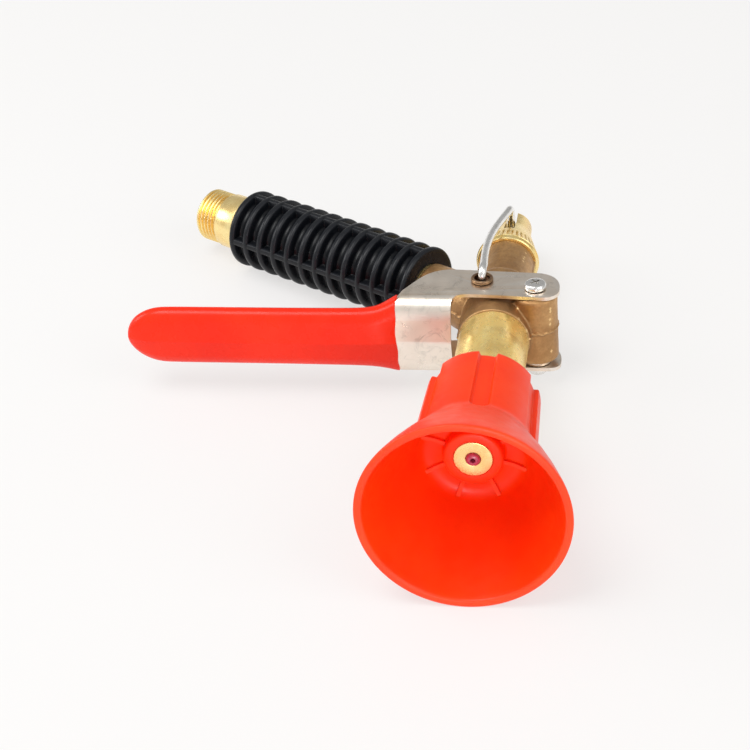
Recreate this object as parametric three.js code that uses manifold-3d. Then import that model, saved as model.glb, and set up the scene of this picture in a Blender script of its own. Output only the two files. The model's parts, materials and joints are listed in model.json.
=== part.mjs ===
// Lever-operated brass spray gun (fire hose nozzle) with an adjustable nozzle and a bell hood.
// Units are millimetres, +Z is up and -Y is the spray direction. The gun lies at rest on the plane
// z = 0, on the rim of its hood, the far end of its grip and its wire bail.
//
// Inside the group `gun` the model uses the gun's own axes: +X runs along the barrel to the bell,
// +Z is the lever's pivot axis, and the origin is where the grip's axis meets the barrel's axis.

import * as THREE from 'three';
import { mergeVertices } from 'three/addons/utils/BufferGeometryUtils.js';
import Module from 'manifold-3d';

const wasm = await Module();
wasm.setup();

// ---------------------------------------------------------------- driving dimensions

const GAP = 0.3; // clearance between neighbouring pieces

// barrel, from the rear tube to the muzzle (positions are along X)
const BARREL_R = 13.3;
const BARREL_REAR = -9;
const BARREL_FRONT = 22.2;
const REAR_TUBE_R = 10.5;
const REAR_TUBE_END = -36;
const REAR_THREAD_R = 9.3;
const REAR_THREAD_END = -43.7;
const CHAMBER_R = 8;
const CHAMBER_REAR = -7;
const STEM_HOLE_R = 2.8;
const PACKING_R = 5.6;
const PACKING_FRONT = -10;
const SPRING_BORE_R = 6.8;
const SPRING_BORE_FRONT = -21;
const TUBE_R = 12.95;
const TUBE_BORE_R = 7.2;
const TUBE_SPIGOT_R = 10;
const TUBE_SPIGOT_REAR = 12.4;
const BODY_SEAL_X = 18.8;
const BODY_SEAL_GROOVE_R = 8.8;
const TUBE_THREAD_R = 12.4;
const TUBE_THREAD_REAR = 68;
const TUBE_FRONT = 86;
const CORE_SEAT_R = 9;
const CORE_SEAT_REAR = 80;
const VALVE_SEAT_BORE_R = 8.3;
const VALVE_SEAT_FRONT = 17.5;

// grip and inlet (distances are along the grip's axis, which leans back from the barrel)
const GRIP_ANGLE = THREE.MathUtils.degToRad(31.6);
const BRANCH_R = 9.6;
const BRANCH_END = 32.7;
const BRANCH_SOCKET_R = 8.3;
const BRANCH_SOCKET_START = 20;
const INLET_BORE_R = 5.5;
const PIPE_R = 9;
const PIPE_COLLAR_R = 11;
const COLLAR_START = 124.4;
const COLLAR_END = 136;
const THREAD_MAJOR_R = 10.4775; // G 1/2 pipe thread
const THREAD_PITCH = 1.814;
const THREAD_DEPTH = 1.16;
const THREAD_TURNS = 5;
const THREAD_RELIEF = 1.6;
const SLEEVE_START = 33.65;
const SLEEVE_CORE_R = 11.6;
const SLEEVE_BORE_R = PIPE_R + GAP;
const RING_R = 15.47;
const RING_COUNT = 13;
const RING_PITCH = 7.27;
const RING_WIDTH = 2.8;
const RIB_COUNT = 4;
const RIB_WIDTH = 2.5;
const RIB_R = 15.2;
const RIB_TURN = THREE.MathUtils.degToRad(3.5);

// lever pivot and casting boss
const PIVOT = new THREE.Vector2(10.8, 14.8);
const PIVOT_HOLE_R = 2.9;
const BOSS_R = 8;
const BOSS_TOP = 14.2;
const BOSS_BOTTOM = -12;
const SCREW_R = 2.6;
const SCREW_HEAD_R = 4.15;
const SCREW_HEAD_HEIGHT = 2.5;

// lever: a stamped channel, its open side towards the grip
const LEVER_HALF_HEIGHT = 16;
const LEVER_THICKNESS = 1.5;
const LEVER_NOSE_START = 4.2; // from the pivot, along X
const LEVER_NOSE_DEPTH = 9.7;
const LEVER_END = -146; // from the pivot, along Y
const TANG_HALF_HEIGHT = 9.3;
const WINDOW_EDGE = -30.3;
const COAT_THICKNESS = 1.4;
const COAT_START = -50.6;
const COAT_END = -152;
const EYELET = new THREE.Vector2(5.6, -5.2);
const EYELET_R = 4.15;
const EYELET_SHANK_R = 3.6;
const EYELET_HOLE_R = 2.8;
const EYELET_TOP = 17.7;
const EYELET_BOTTOM = 13.9;

// wire bail
const WIRE_R = 1.5;
const BAIL_X = -58;
const BAIL_HALF_HEIGHT = 13.8;
const BAIL_LEG_HEIGHT = 20.7;
const BAIL_BEND_R = 4;

// rear cap
const CAP_FRONT = -36.3;
const CAP_COLLAR_R = 11.75;
const CAP_END = -66;
const CAP_END_R = 7.3;
const CAP_THREAD_R = 9.6;
const CAP_WALL_FRONT = -44;
const CAP_WALL_REAR = -47.3;
const CAP_CHAMBER_R = 5.1;
const CAP_SLOT_WIDTH = 4;
const CAP_SLOT_FRONT = -48;

// valve stem and what rides on it
const STEM_R = 2.4;
const STEM_SPIGOT_R = 1.4;
const POPPET_R = 6.3;
const SPRING_R = 5.5;
const SPRING_WIRE_R = 0.6;
const SPRING_COILS = 6;
const COLLAR_FRONT = -24.2;

// nozzle and bell hood
const HOOD_REAR = 62;
const HOOD_RIM = 134.65;
const HOOD_RIM_R = 36;
const HUB_REAR_R = 20.2;
const HUB_FRONT_R = 21.3;
const HUB_LOBES = 6;
const HUB_RECESS_DEPTH = 1.7;
const HUB_RECESS_ANGLE = THREE.MathUtils.degToRad(7.5);
const HOOD_BORE_R = 16.1;
const NOZZLE_R = 15.8;
const NOZZLE_REAR = 62.6;
const NOZZLE_SHOULDER = 92.9;
const NOSE_R = 6.56;
const NOSE_FRONT = 100;
const INSERT_R = 2.5;
const WEB_COUNT = 8;
const WEB_ANGLE = THREE.MathUtils.degToRad(19.5);

// ---------------------------------------------------------------- materials

function material(color, roughness, metalness) {
  return new THREE.MeshStandardMaterial({ color, roughness, metalness });
}

const castBrass = material(0x96714a, 0.62, 0.75);
const brightBrass = material(0xc9a24e, 0.32, 0.95);
const turnedBrass = material(0xe2bd62, 0.25, 1);
const steel = material(0xc9c4b8, 0.3, 1);
const brightSteel = material(0xd8d8d6, 0.2, 1);
const bronze = material(0x6e4a33, 0.45, 0.8);
const redPlastic = material(0xf03a1c, 0.38, 0);
const redVinyl = material(0xe8382c, 0.3, 0);
const blackPlastic = material(0x1b1d20, 0.42, 0);
const rubber = material(0x141414, 0.8, 0);
const pinkCeramic = material(0xb8506a, 0.35, 0);
const springSteel = material(0x9a9a98, 0.35, 1);

// ---------------------------------------------------------------- solids

const WELD = 1e-4;

function solid(geometry) {
  const bare = geometry.clone();
  bare.deleteAttribute('normal');
  bare.deleteAttribute('uv');
  const merged = mergeVertices(bare, WELD);
  const corners = merged.index.array;
  const triangles = [];
  for (let i = 0; i < corners.length; i += 3) {
    const [a, b, c] = [corners[i], corners[i + 1], corners[i + 2]];
    if (a !== b && b !== c && c !== a) {
      triangles.push(a, b, c);
    }
  }
  const vertProperties = merged.attributes.position.array;
  return new wasm.Manifold(new wasm.Mesh({ numProp: 3, vertProperties, triVerts: Uint32Array.from(triangles) }));
}

function geometryOf(shape) {
  const { vertProperties, triVerts } = shape.getMesh();
  const geometry = new THREE.BufferGeometry();
  geometry.setAttribute('position', new THREE.BufferAttribute(vertProperties, 3));
  geometry.setIndex(new THREE.BufferAttribute(triVerts, 1));
  geometry.computeVertexNormals();
  return geometry;
}

function join(shapes) {
  return shapes.reduce((whole, shape) => whole.add(shape));
}

function cut(shape, cutters) {
  return cutters.reduce((rest, cutter) => rest.subtract(cutter), shape);
}

function piece(group, name, shape, finish) {
  const mesh = new THREE.Mesh(geometryOf(shape), finish);
  mesh.name = name;
  group.add(mesh);
}

// A closed profile of [radius, height] points turned about its own axis (+Y), facing outwards.
function turned(profile, segments = 24) {
  const points = profile.map(([r, h]) => new THREE.Vector2(r, h));
  if (THREE.ShapeUtils.area(points) < 0) {
    points.reverse();
  }
  points.push(points[0].clone());
  return new THREE.LatheGeometry(points, segments);
}

function alongX(profile, segments) {
  return solid(turned(profile, segments).rotateZ(-Math.PI / 2));
}

function alongZ(profile, segments, centre = new THREE.Vector2()) {
  const geometry = turned(profile, segments).rotateX(Math.PI / 2);
  return solid(geometry.translate(centre.x, centre.y, 0));
}

function alongGrip(profile, segments) {
  return solid(turned(profile, segments).rotateZ(Math.PI - GRIP_ANGLE));
}

// A washer-shaped profile between two radii and two heights.
function ringProfile(inner, outer, low, high) {
  return [[inner, low], [outer, low], [outer, high], [inner, high]];
}

function discProfile(radius, low, high) {
  return [[0, low], [radius, low], [radius, high], [0, high]];
}

function block(low, high) {
  const size = new THREE.Vector3().subVectors(high, low);
  const centre = new THREE.Vector3().addVectors(low, high).multiplyScalar(0.5);
  return new THREE.BoxGeometry(size.x, size.y, size.z).translate(centre.x, centre.y, centre.z);
}

function tube(path, radius, steps, sides) {
  const section = new THREE.Shape();
  section.absarc(0, 0, radius, 0, 2 * Math.PI, false);
  return solid(new THREE.ExtrudeGeometry(section, { steps, curveSegments: sides, extrudePath: path }));
}

// A straight-sided path whose corners are rounded to one bend radius.
function bentPath(corners, bendRadius) {
  const path = new THREE.CurvePath();
  let from = corners[0];
  for (let i = 1; i < corners.length - 1; i += 1) {
    const before = new THREE.Vector3().subVectors(corners[i - 1], corners[i]).setLength(bendRadius);
    const after = new THREE.Vector3().subVectors(corners[i + 1], corners[i]).setLength(bendRadius);
    const bendStart = before.add(corners[i]);
    const bendEnd = after.add(corners[i]);
    path.add(new THREE.LineCurve3(from, bendStart));
    path.add(new THREE.QuadraticBezierCurve3(bendStart, corners[i], bendEnd));
    from = bendEnd;
  }
  path.add(new THREE.LineCurve3(from, corners.at(-1)));
  return path;
}

// A skin through equal rings of points, closed by flat ends.
function loft(rings) {
  const count = rings[0].length;
  const positions = rings.flat().flatMap((p) => [p.x, p.y, p.z]);
  const index = [];
  for (let r = 0; r < rings.length - 1; r += 1) {
    for (let i = 0; i < count; i += 1) {
      const a = r * count + i;
      const b = r * count + ((i + 1) % count);
      index.push(a, b, b + count, a, b + count, a + count);
    }
  }
  const flat = rings[0].map((p) => new THREE.Vector2(p.x, p.z));
  const last = (rings.length - 1) * count;
  for (const [a, b, c] of THREE.ShapeUtils.triangulateShape(flat, [])) {
    index.push(c, b, a);
    index.push(last + a, last + b, last + c);
  }
  const geometry = new THREE.BufferGeometry();
  geometry.setAttribute('position', new THREE.BufferAttribute(Float32Array.from(positions), 3));
  geometry.setIndex(index);
  return solid(geometry);
}

// ---------------------------------------------------------------- body

function bodyCasting() {
  const barrel = alongX([
    [0, REAR_THREAD_END], [REAR_THREAD_R, REAR_THREAD_END], [REAR_THREAD_R, REAR_TUBE_END],
    [REAR_TUBE_R, REAR_TUBE_END], [REAR_TUBE_R, BARREL_REAR - 5], [BARREL_R - 1.2, BARREL_REAR - 3],
    [BARREL_R, BARREL_REAR], [BARREL_R, BARREL_FRONT], [0, BARREL_FRONT],
  ]);
  const branch = alongGrip([
    [0, 0], [BARREL_R, 0], [BARREL_R - 1.5, 16], [BRANCH_R, 21], [BRANCH_R, BRANCH_END], [0, BRANCH_END],
  ]);
  const boss = alongZ([
    [0, BOSS_BOTTOM], [BOSS_R, BOSS_BOTTOM], [BOSS_R, BOSS_TOP - 1.8], [BOSS_R - 2.8, BOSS_TOP], [0, BOSS_TOP],
  ], 24, PIVOT);
  const bridge = solid(block(
    new THREE.Vector3(PIVOT.x - BOSS_R + 1, 6, BOSS_BOTTOM + 1),
    new THREE.Vector3(PIVOT.x + BOSS_R - 4, PIVOT.y, BOSS_TOP - 2),
  ));
  const bores = [
    alongX(discProfile(TUBE_SPIGOT_R + GAP, TUBE_SPIGOT_REAR - 0.4, BARREL_FRONT + 1)),
    alongX(discProfile(CHAMBER_R, CHAMBER_REAR, TUBE_SPIGOT_REAR)),
    alongX(discProfile(STEM_HOLE_R, SPRING_BORE_FRONT, CHAMBER_REAR + 1)),
    alongX(discProfile(PACKING_R, SPRING_BORE_FRONT - 1, PACKING_FRONT)),
    alongX(discProfile(SPRING_BORE_R, REAR_THREAD_END - 1, SPRING_BORE_FRONT)),
    alongGrip(discProfile(INLET_BORE_R, 0, BRANCH_END + 1)),
    alongGrip(discProfile(BRANCH_SOCKET_R, BRANCH_SOCKET_START, BRANCH_END + 1)),
    alongZ(discProfile(PIVOT_HOLE_R, BOSS_BOTTOM - 1, BOSS_TOP + 1), 24, PIVOT),
  ];
  return cut(join([barrel, branch, boss, bridge]), bores);
}

function frontBarrel() {
  return alongX([
    [VALVE_SEAT_BORE_R, TUBE_SPIGOT_REAR], [TUBE_SPIGOT_R, TUBE_SPIGOT_REAR],
    [TUBE_SPIGOT_R, BODY_SEAL_X - 0.9], [BODY_SEAL_GROOVE_R, BODY_SEAL_X - 0.9],
    [BODY_SEAL_GROOVE_R, BODY_SEAL_X + 0.9], [TUBE_SPIGOT_R, BODY_SEAL_X + 0.9],
    [TUBE_SPIGOT_R, BARREL_FRONT + GAP], [TUBE_R, BARREL_FRONT + GAP],
    [TUBE_R, TUBE_THREAD_REAR], [TUBE_THREAD_R, TUBE_THREAD_REAR + 0.5],
    [TUBE_THREAD_R, TUBE_FRONT - 1], [TUBE_THREAD_R - 1, TUBE_FRONT],
    [CORE_SEAT_R, TUBE_FRONT], [CORE_SEAT_R, CORE_SEAT_REAR],
    [TUBE_BORE_R, CORE_SEAT_REAR], [TUBE_BORE_R, VALVE_SEAT_FRONT],
    [VALVE_SEAT_BORE_R, VALVE_SEAT_FRONT],
  ]);
}

function valveSeat() {
  return alongX(ringProfile(4.2, VALVE_SEAT_BORE_R - GAP, TUBE_SPIGOT_REAR + GAP, VALVE_SEAT_FRONT - GAP));
}

function swirlCore() {
  const body = alongX([
    [0, CORE_SEAT_REAR + GAP], [CORE_SEAT_R - GAP, CORE_SEAT_REAR + GAP],
    [CORE_SEAT_R - GAP, TUBE_FRONT - GAP], [3.2, TUBE_FRONT - GAP], [1, TUBE_FRONT + 1.4], [0, TUBE_FRONT + 1.4],
  ]);
  const slots = [0, 1, 2].map((i) => {
    const slot = block(new THREE.Vector3(CORE_SEAT_REAR - 2, 4.2, -1.3), new THREE.Vector3(TUBE_FRONT + 2, 12, 1.3));
    return solid(slot.rotateX((i * 2 * Math.PI) / 3));
  });
  return cut(body, slots);
}

// O-rings are plain six-sided tori around the barrel's axis.
function oRing(centre, midRadius, radius) {
  const profile = [];
  for (let i = 0; i < 6; i += 1) {
    const angle = ((i + 0.5) * Math.PI) / 3;
    profile.push([midRadius + radius * Math.cos(angle), centre + radius * Math.sin(angle)]);
  }
  return alongX(profile, 16);
}

function glandBush() {
  const length = 4.9;
  const front = SPRING_BORE_FRONT + length;
  return alongX([
    [STEM_HOLE_R - 0.1, SPRING_BORE_FRONT - 1.8], [SPRING_BORE_R - GAP, SPRING_BORE_FRONT - 1.8],
    [SPRING_BORE_R - GAP, SPRING_BORE_FRONT - GAP], [PACKING_R - GAP, SPRING_BORE_FRONT - GAP],
    [PACKING_R - GAP, front], [STEM_HOLE_R - 0.1, front],
  ], 24);
}

function rearCap() {
  const shell = alongX([
    [CAP_THREAD_R, CAP_FRONT], [CAP_COLLAR_R - 0.3, CAP_FRONT], [CAP_COLLAR_R, CAP_FRONT - 0.5],
    [CAP_COLLAR_R, CAP_FRONT - 2.6], [10.9, CAP_FRONT - 6], [9.8, CAP_FRONT - 11.6], [8.3, CAP_FRONT - 18],
    [CAP_END_R + 0.05, CAP_FRONT - 21.7], [CAP_END_R, CAP_END + 1], [CAP_END_R - 0.7, CAP_END],
    [CAP_CHAMBER_R, CAP_END], [CAP_CHAMBER_R, CAP_WALL_REAR], [STEM_HOLE_R, CAP_WALL_REAR],
    [STEM_HOLE_R, CAP_WALL_FRONT], [CAP_THREAD_R, CAP_WALL_FRONT],
  ]);
  const half = CAP_SLOT_WIDTH / 2;
  const slot = solid(block(
    new THREE.Vector3(CAP_END - 1, -half, -CAP_COLLAR_R - 1),
    new THREE.Vector3(CAP_SLOT_FRONT, half, CAP_COLLAR_R + 1),
  ));
  return shell.subtract(slot);
}

// ---------------------------------------------------------------- grip and inlet

function inletPipe() {
  const threadStart = COLLAR_END + THREAD_RELIEF;
  const rootR = THREAD_MAJOR_R - THREAD_DEPTH;
  const outline = [
    [INLET_BORE_R, BRANCH_SOCKET_START + GAP], [BRANCH_SOCKET_R - GAP, BRANCH_SOCKET_START + GAP],
    [BRANCH_SOCKET_R - GAP, BRANCH_END + GAP], [PIPE_R, BRANCH_END + GAP],
    [PIPE_R, COLLAR_START], [PIPE_COLLAR_R, COLLAR_START],
    [PIPE_COLLAR_R, COLLAR_END], [rootR, COLLAR_END], [rootR, threadStart],
  ];
  for (let turn = 0; turn < THREAD_TURNS; turn += 1) {
    const start = threadStart + turn * THREAD_PITCH;
    outline.push([THREAD_MAJOR_R, start + 0.38 * THREAD_PITCH]);
    outline.push([THREAD_MAJOR_R, start + 0.62 * THREAD_PITCH]);
    outline.push([rootR, start + THREAD_PITCH]);
  }
  const end = threadStart + THREAD_TURNS * THREAD_PITCH;
  outline.push([rootR, end + 0.4], [INLET_BORE_R + 2, end + 0.4], [INLET_BORE_R, end - 4]);
  return alongGrip(outline, 24);
}

function gripSleeve() {
  const sleeveEnd = SLEEVE_START + RING_WIDTH + (RING_COUNT - 1) * RING_PITCH;
  const outline = [[SLEEVE_BORE_R, SLEEVE_START]];
  for (let ring = 0; ring < RING_COUNT; ring += 1) {
    const start = SLEEVE_START + ring * RING_PITCH;
    if (ring > 0) {
      outline.push([SLEEVE_CORE_R, start]);
    }
    outline.push([RING_R, start + 0.5], [RING_R, start + RING_WIDTH - 0.5]);
    if (ring < RING_COUNT - 1) {
      outline.push([SLEEVE_CORE_R, start + RING_WIDTH]);
    }
  }
  outline.push([SLEEVE_BORE_R, sleeveEnd]);
  const rings = alongGrip(outline, 16);
  const ribs = [];
  for (let i = 0; i < RIB_COUNT; i += 1) {
    const rib = block(
      new THREE.Vector3(-RIB_WIDTH / 2, SLEEVE_START + 1, SLEEVE_CORE_R - 1),
      new THREE.Vector3(RIB_WIDTH / 2, sleeveEnd - 1, RIB_R),
    );
    rib.rotateY(RIB_TURN + (i * 2 * Math.PI) / RIB_COUNT);
    ribs.push(solid(rib.rotateZ(Math.PI - GRIP_ANGLE)));
  }
  return join([rings, ...ribs]);
}

// ---------------------------------------------------------------- lever

// The channel's section across its length: half of the outline of the nose, from edge to ridge.
// Every point is [fraction of the depth, fraction of the half height].
const NOSE = [[0, 1], [0.35, 0.965], [0.6, 0.85], [0.76, 0.66], [0.9, 0.34], [1, 0]];

function noseSection(start, depth, halfHeight) {
  const upper = NOSE.map(([x, z]) => new THREE.Vector2(start + x * depth, z * halfHeight));
  const lower = upper.slice(0, -1).reverse().map((p) => new THREE.Vector2(p.x, -p.y));
  return [...upper, ...lower];
}

// Extruded along Y: the x-z section runs from y = low to y = high.
function channelAlongY(points, low, high) {
  const shape = new THREE.Shape(points.map((p) => new THREE.Vector2(p.x, -p.y)));
  const geometry = new THREE.ExtrudeGeometry(shape, { depth: high - low, bevelEnabled: false, steps: 1 });
  return solid(geometry.rotateX(-Math.PI / 2).translate(0, low, 0));
}

function leverShell() {
  const open = LEVER_NOSE_START - 40;
  const t = LEVER_THICKNESS;
  const outer = noseSection(LEVER_NOSE_START, LEVER_NOSE_DEPTH, LEVER_HALF_HEIGHT);
  const inner = noseSection(LEVER_NOSE_START, LEVER_NOSE_DEPTH - t, LEVER_HALF_HEIGHT - t);
  const outline = [
    new THREE.Vector2(open, LEVER_HALF_HEIGHT), ...outer, new THREE.Vector2(open, -LEVER_HALF_HEIGHT),
    new THREE.Vector2(open, -LEVER_HALF_HEIGHT + t), ...inner.reverse(),
    new THREE.Vector2(open, LEVER_HALF_HEIGHT - t),
  ];
  return channelAlongY(outline, LEVER_END - 1, 12);
}

// The flanges seen along the pivot axis, drawn from the pivot.
function leverPlan() {
  const plan = new THREE.Shape();
  plan.moveTo(-11.3, 0.5);
  plan.bezierCurveTo(-10.6, 6, -6, 8.9, 0, 8.9);
  plan.lineTo(3.6, 8.9);
  plan.bezierCurveTo(6.4, 8.9, 7.7, 7.2, 7.7, 4.4);
  plan.bezierCurveTo(7.4, -4, 5.6, -12, 4.9, -23);
  plan.bezierCurveTo(4.7, -27.5, 6, WINDOW_EDGE, 10, WINDOW_EDGE);
  plan.lineTo(20, WINDOW_EDGE);
  plan.lineTo(20, LEVER_END);
  plan.lineTo(9, LEVER_END);
  plan.lineTo(9, -60);
  plan.bezierCurveTo(9, -52, 4, -49.5, -1.5, -46.4);
  plan.bezierCurveTo(-7, -43.4, -13.2, -40, -13.6, -32);
  plan.closePath();
  return plan;
}

// The lever seen along the barrel: full height at the flanges, then a narrow round-ended tang.
function leverFront() {
  const high = LEVER_HALF_HEIGHT + 1;
  const tang = TANG_HALF_HEIGHT;
  const front = new THREE.Shape();
  front.moveTo(12, -high);
  front.lineTo(12, high);
  front.lineTo(-46, high);
  front.bezierCurveTo(-50, high, -52, 10.6, -62, 9.8);
  front.lineTo(-120, tang);
  front.lineTo(LEVER_END + 8, tang);
  front.bezierCurveTo(LEVER_END + 2, tang, LEVER_END, 6, LEVER_END, 0);
  front.bezierCurveTo(LEVER_END, -6, LEVER_END + 2, -tang, LEVER_END + 8, -tang);
  front.lineTo(-120, -tang);
  front.lineTo(-62, -9.8);
  front.bezierCurveTo(-52, -10.6, -50, -high, -46, -high);
  front.closePath();
  return front;
}

function leverPlate() {
  const tall = 2 * LEVER_HALF_HEIGHT + 2;
  const plan = new THREE.ExtrudeGeometry(leverPlan(), { depth: tall, bevelEnabled: false, curveSegments: 8 });
  const front = new THREE.ExtrudeGeometry(leverFront(), { depth: 40, bevelEnabled: false, curveSegments: 8 });
  // the front outline is drawn in (y, z) and extruded along X
  front.rotateX(Math.PI / 2).rotateZ(Math.PI / 2).translate(-16, 0, 0);
  const holes = [
    alongZ(discProfile(PIVOT_HOLE_R, -20, 20), 24),
    alongZ(discProfile(EYELET_SHANK_R + GAP, -20, 20), 24, EYELET.clone().sub(PIVOT)),
  ];
  const shell = leverShell()
    .intersect(solid(plan.translate(0, 0, -tall / 2)))
    .intersect(solid(front));
  return cut(shell, holes);
}

// The channel's outer surface: its distance from the pivot, along X, at a height above the ridge.
function noseX(height) {
  const fraction = Math.min(Math.abs(height) / LEVER_HALF_HEIGHT, 1);
  const above = NOSE.findLastIndex(([, z]) => z >= fraction);
  const [x0, z0] = NOSE[above];
  const [x1, z1] = NOSE[Math.min(above + 1, NOSE.length - 1)];
  const t = z0 === z1 ? 0 : (z0 - fraction) / (z0 - z1);
  return LEVER_NOSE_START + LEVER_NOSE_DEPTH * (x0 + (x1 - x0) * t);
}

// One section of the dipped coat, or of the hollow inside it: it follows the channel's front,
// turns over at `half`, slopes to `shoulder` and ends in a round back.
function coatSection([y, half, shoulder, back], grow, turnOver) {
  const side = [0, 0.25, 0.5, 0.75, 0.92].map((k) => [noseX(k * half - grow) + grow, k * half]);
  const edge = side.at(-1)[0];
  side.push([edge - turnOver, half], [edge - turnOver - 2.2, half * 0.97]);
  side.push([back + 2.2, shoulder], [back + 0.5, shoulder * 0.6], [back + 0.1, shoulder * 0.3]);
  const upper = side.map(([x, z]) => new THREE.Vector3(x, y, z));
  const lower = upper.slice(1).reverse().map((p) => new THREE.Vector3(p.x, p.y, -p.z));
  return [...upper, new THREE.Vector3(back, y, 0), ...lower];
}

// Stations from the steel to the tip: [y, half height, shoulder height, back].
const COAT_STATIONS = [
  [COAT_START, 16.4, 16.2, -0.8], [-52.5, 15, 14.9, 0.8], [-55.9, 13.2, 12.5, 2.2], [-59, 12.4, 10.4, 3],
  [-64, 12, 9.6, 3.2], [-90, 11.8, 9.3, 3.2], [-120, 11.5, 9.1, 3.4], [COAT_END + 10, 11.5, 8.9, 3.6],
];
const HOLLOW_STATIONS = [
  [COAT_START + 1, 15.9, 15.8, 0.2], [-52.5, 13.9, 13.8, 2], [-55.9, 11.9, 11.2, 3.6], [-59, 11, 9, 4.6],
  [-64, 10.3, 7.8, 5], [-90, 10, 7.6, 5], [-120, 9.8, 7.4, 5.2], [LEVER_END + 7, 9.8, 7.2, 5.4],
];

// Sections that close the end of the coat or of its hollow, from its last station to y = end.
function roundedEnd([start, half, shoulder, back], end, grow, turnOver, thins) {
  const centreX = LEVER_NOSE_START + LEVER_NOSE_DEPTH / 2;
  return [0.35, 0.62, 0.85, 1].map((fraction) => {
    const shrink = Math.sqrt(1.04 - fraction * fraction);
    const thinning = thins ? shrink : 1;
    const station = [start + (end - start) * fraction, half * shrink, shoulder * shrink, back];
    return coatSection(station, grow, turnOver).map((p) => new THREE.Vector3(
      centreX + (p.x - centreX) * thinning, p.y, p.z,
    ));
  });
}

function leverCoat() {
  const outer = COAT_STATIONS.map((station) => coatSection(station, COAT_THICKNESS, 1));
  outer.push(...roundedEnd(COAT_STATIONS.at(-1), COAT_END, COAT_THICKNESS, 1, true));
  const hollow = HOLLOW_STATIONS.map((station) => coatSection(station, GAP + 0.1, 0));
  hollow.push(...roundedEnd(HOLLOW_STATIONS.at(-1), LEVER_END - 1.2, GAP + 0.1, 0, false));
  return loft(outer).subtract(loft(hollow));
}

function eyelet(side) {
  const low = side * EYELET_BOTTOM;
  const head = side * (LEVER_HALF_HEIGHT + GAP);
  const top = side * EYELET_TOP;
  return alongZ([
    [EYELET_HOLE_R, low], [EYELET_SHANK_R, low], [EYELET_SHANK_R, head], [EYELET_R, head],
    [EYELET_R, top], [EYELET_HOLE_R, top],
  ], 28, EYELET);
}

function wireBail() {
  const corners = [
    new THREE.Vector3(EYELET.x, EYELET.y, EYELET_BOTTOM + 0.4),
    new THREE.Vector3(EYELET.x, EYELET.y, BAIL_LEG_HEIGHT),
    new THREE.Vector3(BAIL_X, 0, BAIL_HALF_HEIGHT),
    new THREE.Vector3(BAIL_X, 0, -BAIL_HALF_HEIGHT),
    new THREE.Vector3(EYELET.x, EYELET.y, -BAIL_LEG_HEIGHT),
    new THREE.Vector3(EYELET.x, EYELET.y, -EYELET_BOTTOM - 0.4),
  ];
  return tube(bentPath(corners, BAIL_BEND_R), WIRE_R, 36, 4);
}

// ---------------------------------------------------------------- pivot hardware

function pivotScrew() {
  const under = LEVER_HALF_HEIGHT + GAP;
  const top = under + SCREW_HEAD_HEIGHT;
  const body = alongZ([
    [0, -LEVER_HALF_HEIGHT - 2.4], [SCREW_R, -LEVER_HALF_HEIGHT - 2.4], [SCREW_R, under],
    [SCREW_HEAD_R, under], [SCREW_HEAD_R, under + 1.2], [SCREW_HEAD_R - 1, top - 0.3], [1.6, top], [0, top],
  ], 28, PIVOT);
  const recess = [0, 1].map((i) => {
    const arm = block(new THREE.Vector3(-2, -0.45, top - 1.2), new THREE.Vector3(2, 0.45, top + 1));
    return solid(arm.rotateZ(Math.PI / 4 + (i * Math.PI) / 2).translate(PIVOT.x, PIVOT.y, 0));
  });
  return cut(body, recess);
}

function pivotNut() {
  const seat = -LEVER_HALF_HEIGHT - GAP;
  return alongZ([
    [SCREW_R + GAP, seat], [4.2, seat], [4.2, seat - 1.4], [3.4, seat - 2.8], [1.6, seat - 3.6], [0, seat - 3.7],
    [0, seat - 2.6], [SCREW_R + GAP, seat - 2.6],
  ], 6 * 4, PIVOT);
}

function pivotWasher() {
  const low = -LEVER_HALF_HEIGHT + LEVER_THICKNESS + GAP;
  return alongZ(ringProfile(PIVOT_HOLE_R, 5.4, low, BOSS_BOTTOM - GAP), 28, PIVOT);
}

// ---------------------------------------------------------------- stem

function valveStem() {
  return alongX([
    [0, -55.4], [1.6, -55.4], [1.6, -52.3], [STEM_R, -52.3], [STEM_R, 6.6],
    [STEM_SPIGOT_R, 6.6], [STEM_SPIGOT_R, 14.6], [0, 14.6],
  ], 24);
}

function stemEye() {
  const head = alongX([
    [0, BAIL_X - 4.6], [3.9, BAIL_X - 4.6], [4.5, BAIL_X - 4], [4.5, -52.6],
    [1.9, -52.6], [1.9, -55.7], [0, -55.7],
  ], 28);
  const eye = alongZ(discProfile(WIRE_R + 0.4, -6, 6), 20, new THREE.Vector2(BAIL_X, 0));
  return head.subtract(eye);
}

function poppet() {
  return alongX([
    [STEM_SPIGOT_R + GAP, 6.9], [4.6, 6.9], [POPPET_R, 8.6], [POPPET_R, 9.8], [STEM_SPIGOT_R + GAP, 9.8],
  ], 24);
}

function poppetSeal() {
  return alongX(ringProfile(STEM_SPIGOT_R + GAP, 5.9, 10.1, 12.3), 24);
}

function poppetNut() {
  return alongX([
    [STEM_SPIGOT_R + GAP, 12.6], [3.2, 12.6], [3.2, 14.6], [2, 16.2], [0, 16.2], [0, 14.9],
    [STEM_SPIGOT_R + GAP, 14.9],
  ], 24);
}

function springCollar() {
  return alongX(ringProfile(STEM_R + GAP, 5.9, COLLAR_FRONT - 2, COLLAR_FRONT), 24);
}

class Helix extends THREE.Curve {
  constructor(radius, start, end, coils) {
    super();
    Object.assign(this, { radius, start, end, coils });
  }

  getPoint(t, target = new THREE.Vector3()) {
    const angle = 2 * Math.PI * this.coils * t;
    const x = this.start + (this.end - this.start) * t;
    return target.set(x, this.radius * Math.cos(angle), this.radius * Math.sin(angle));
  }
}

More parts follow.
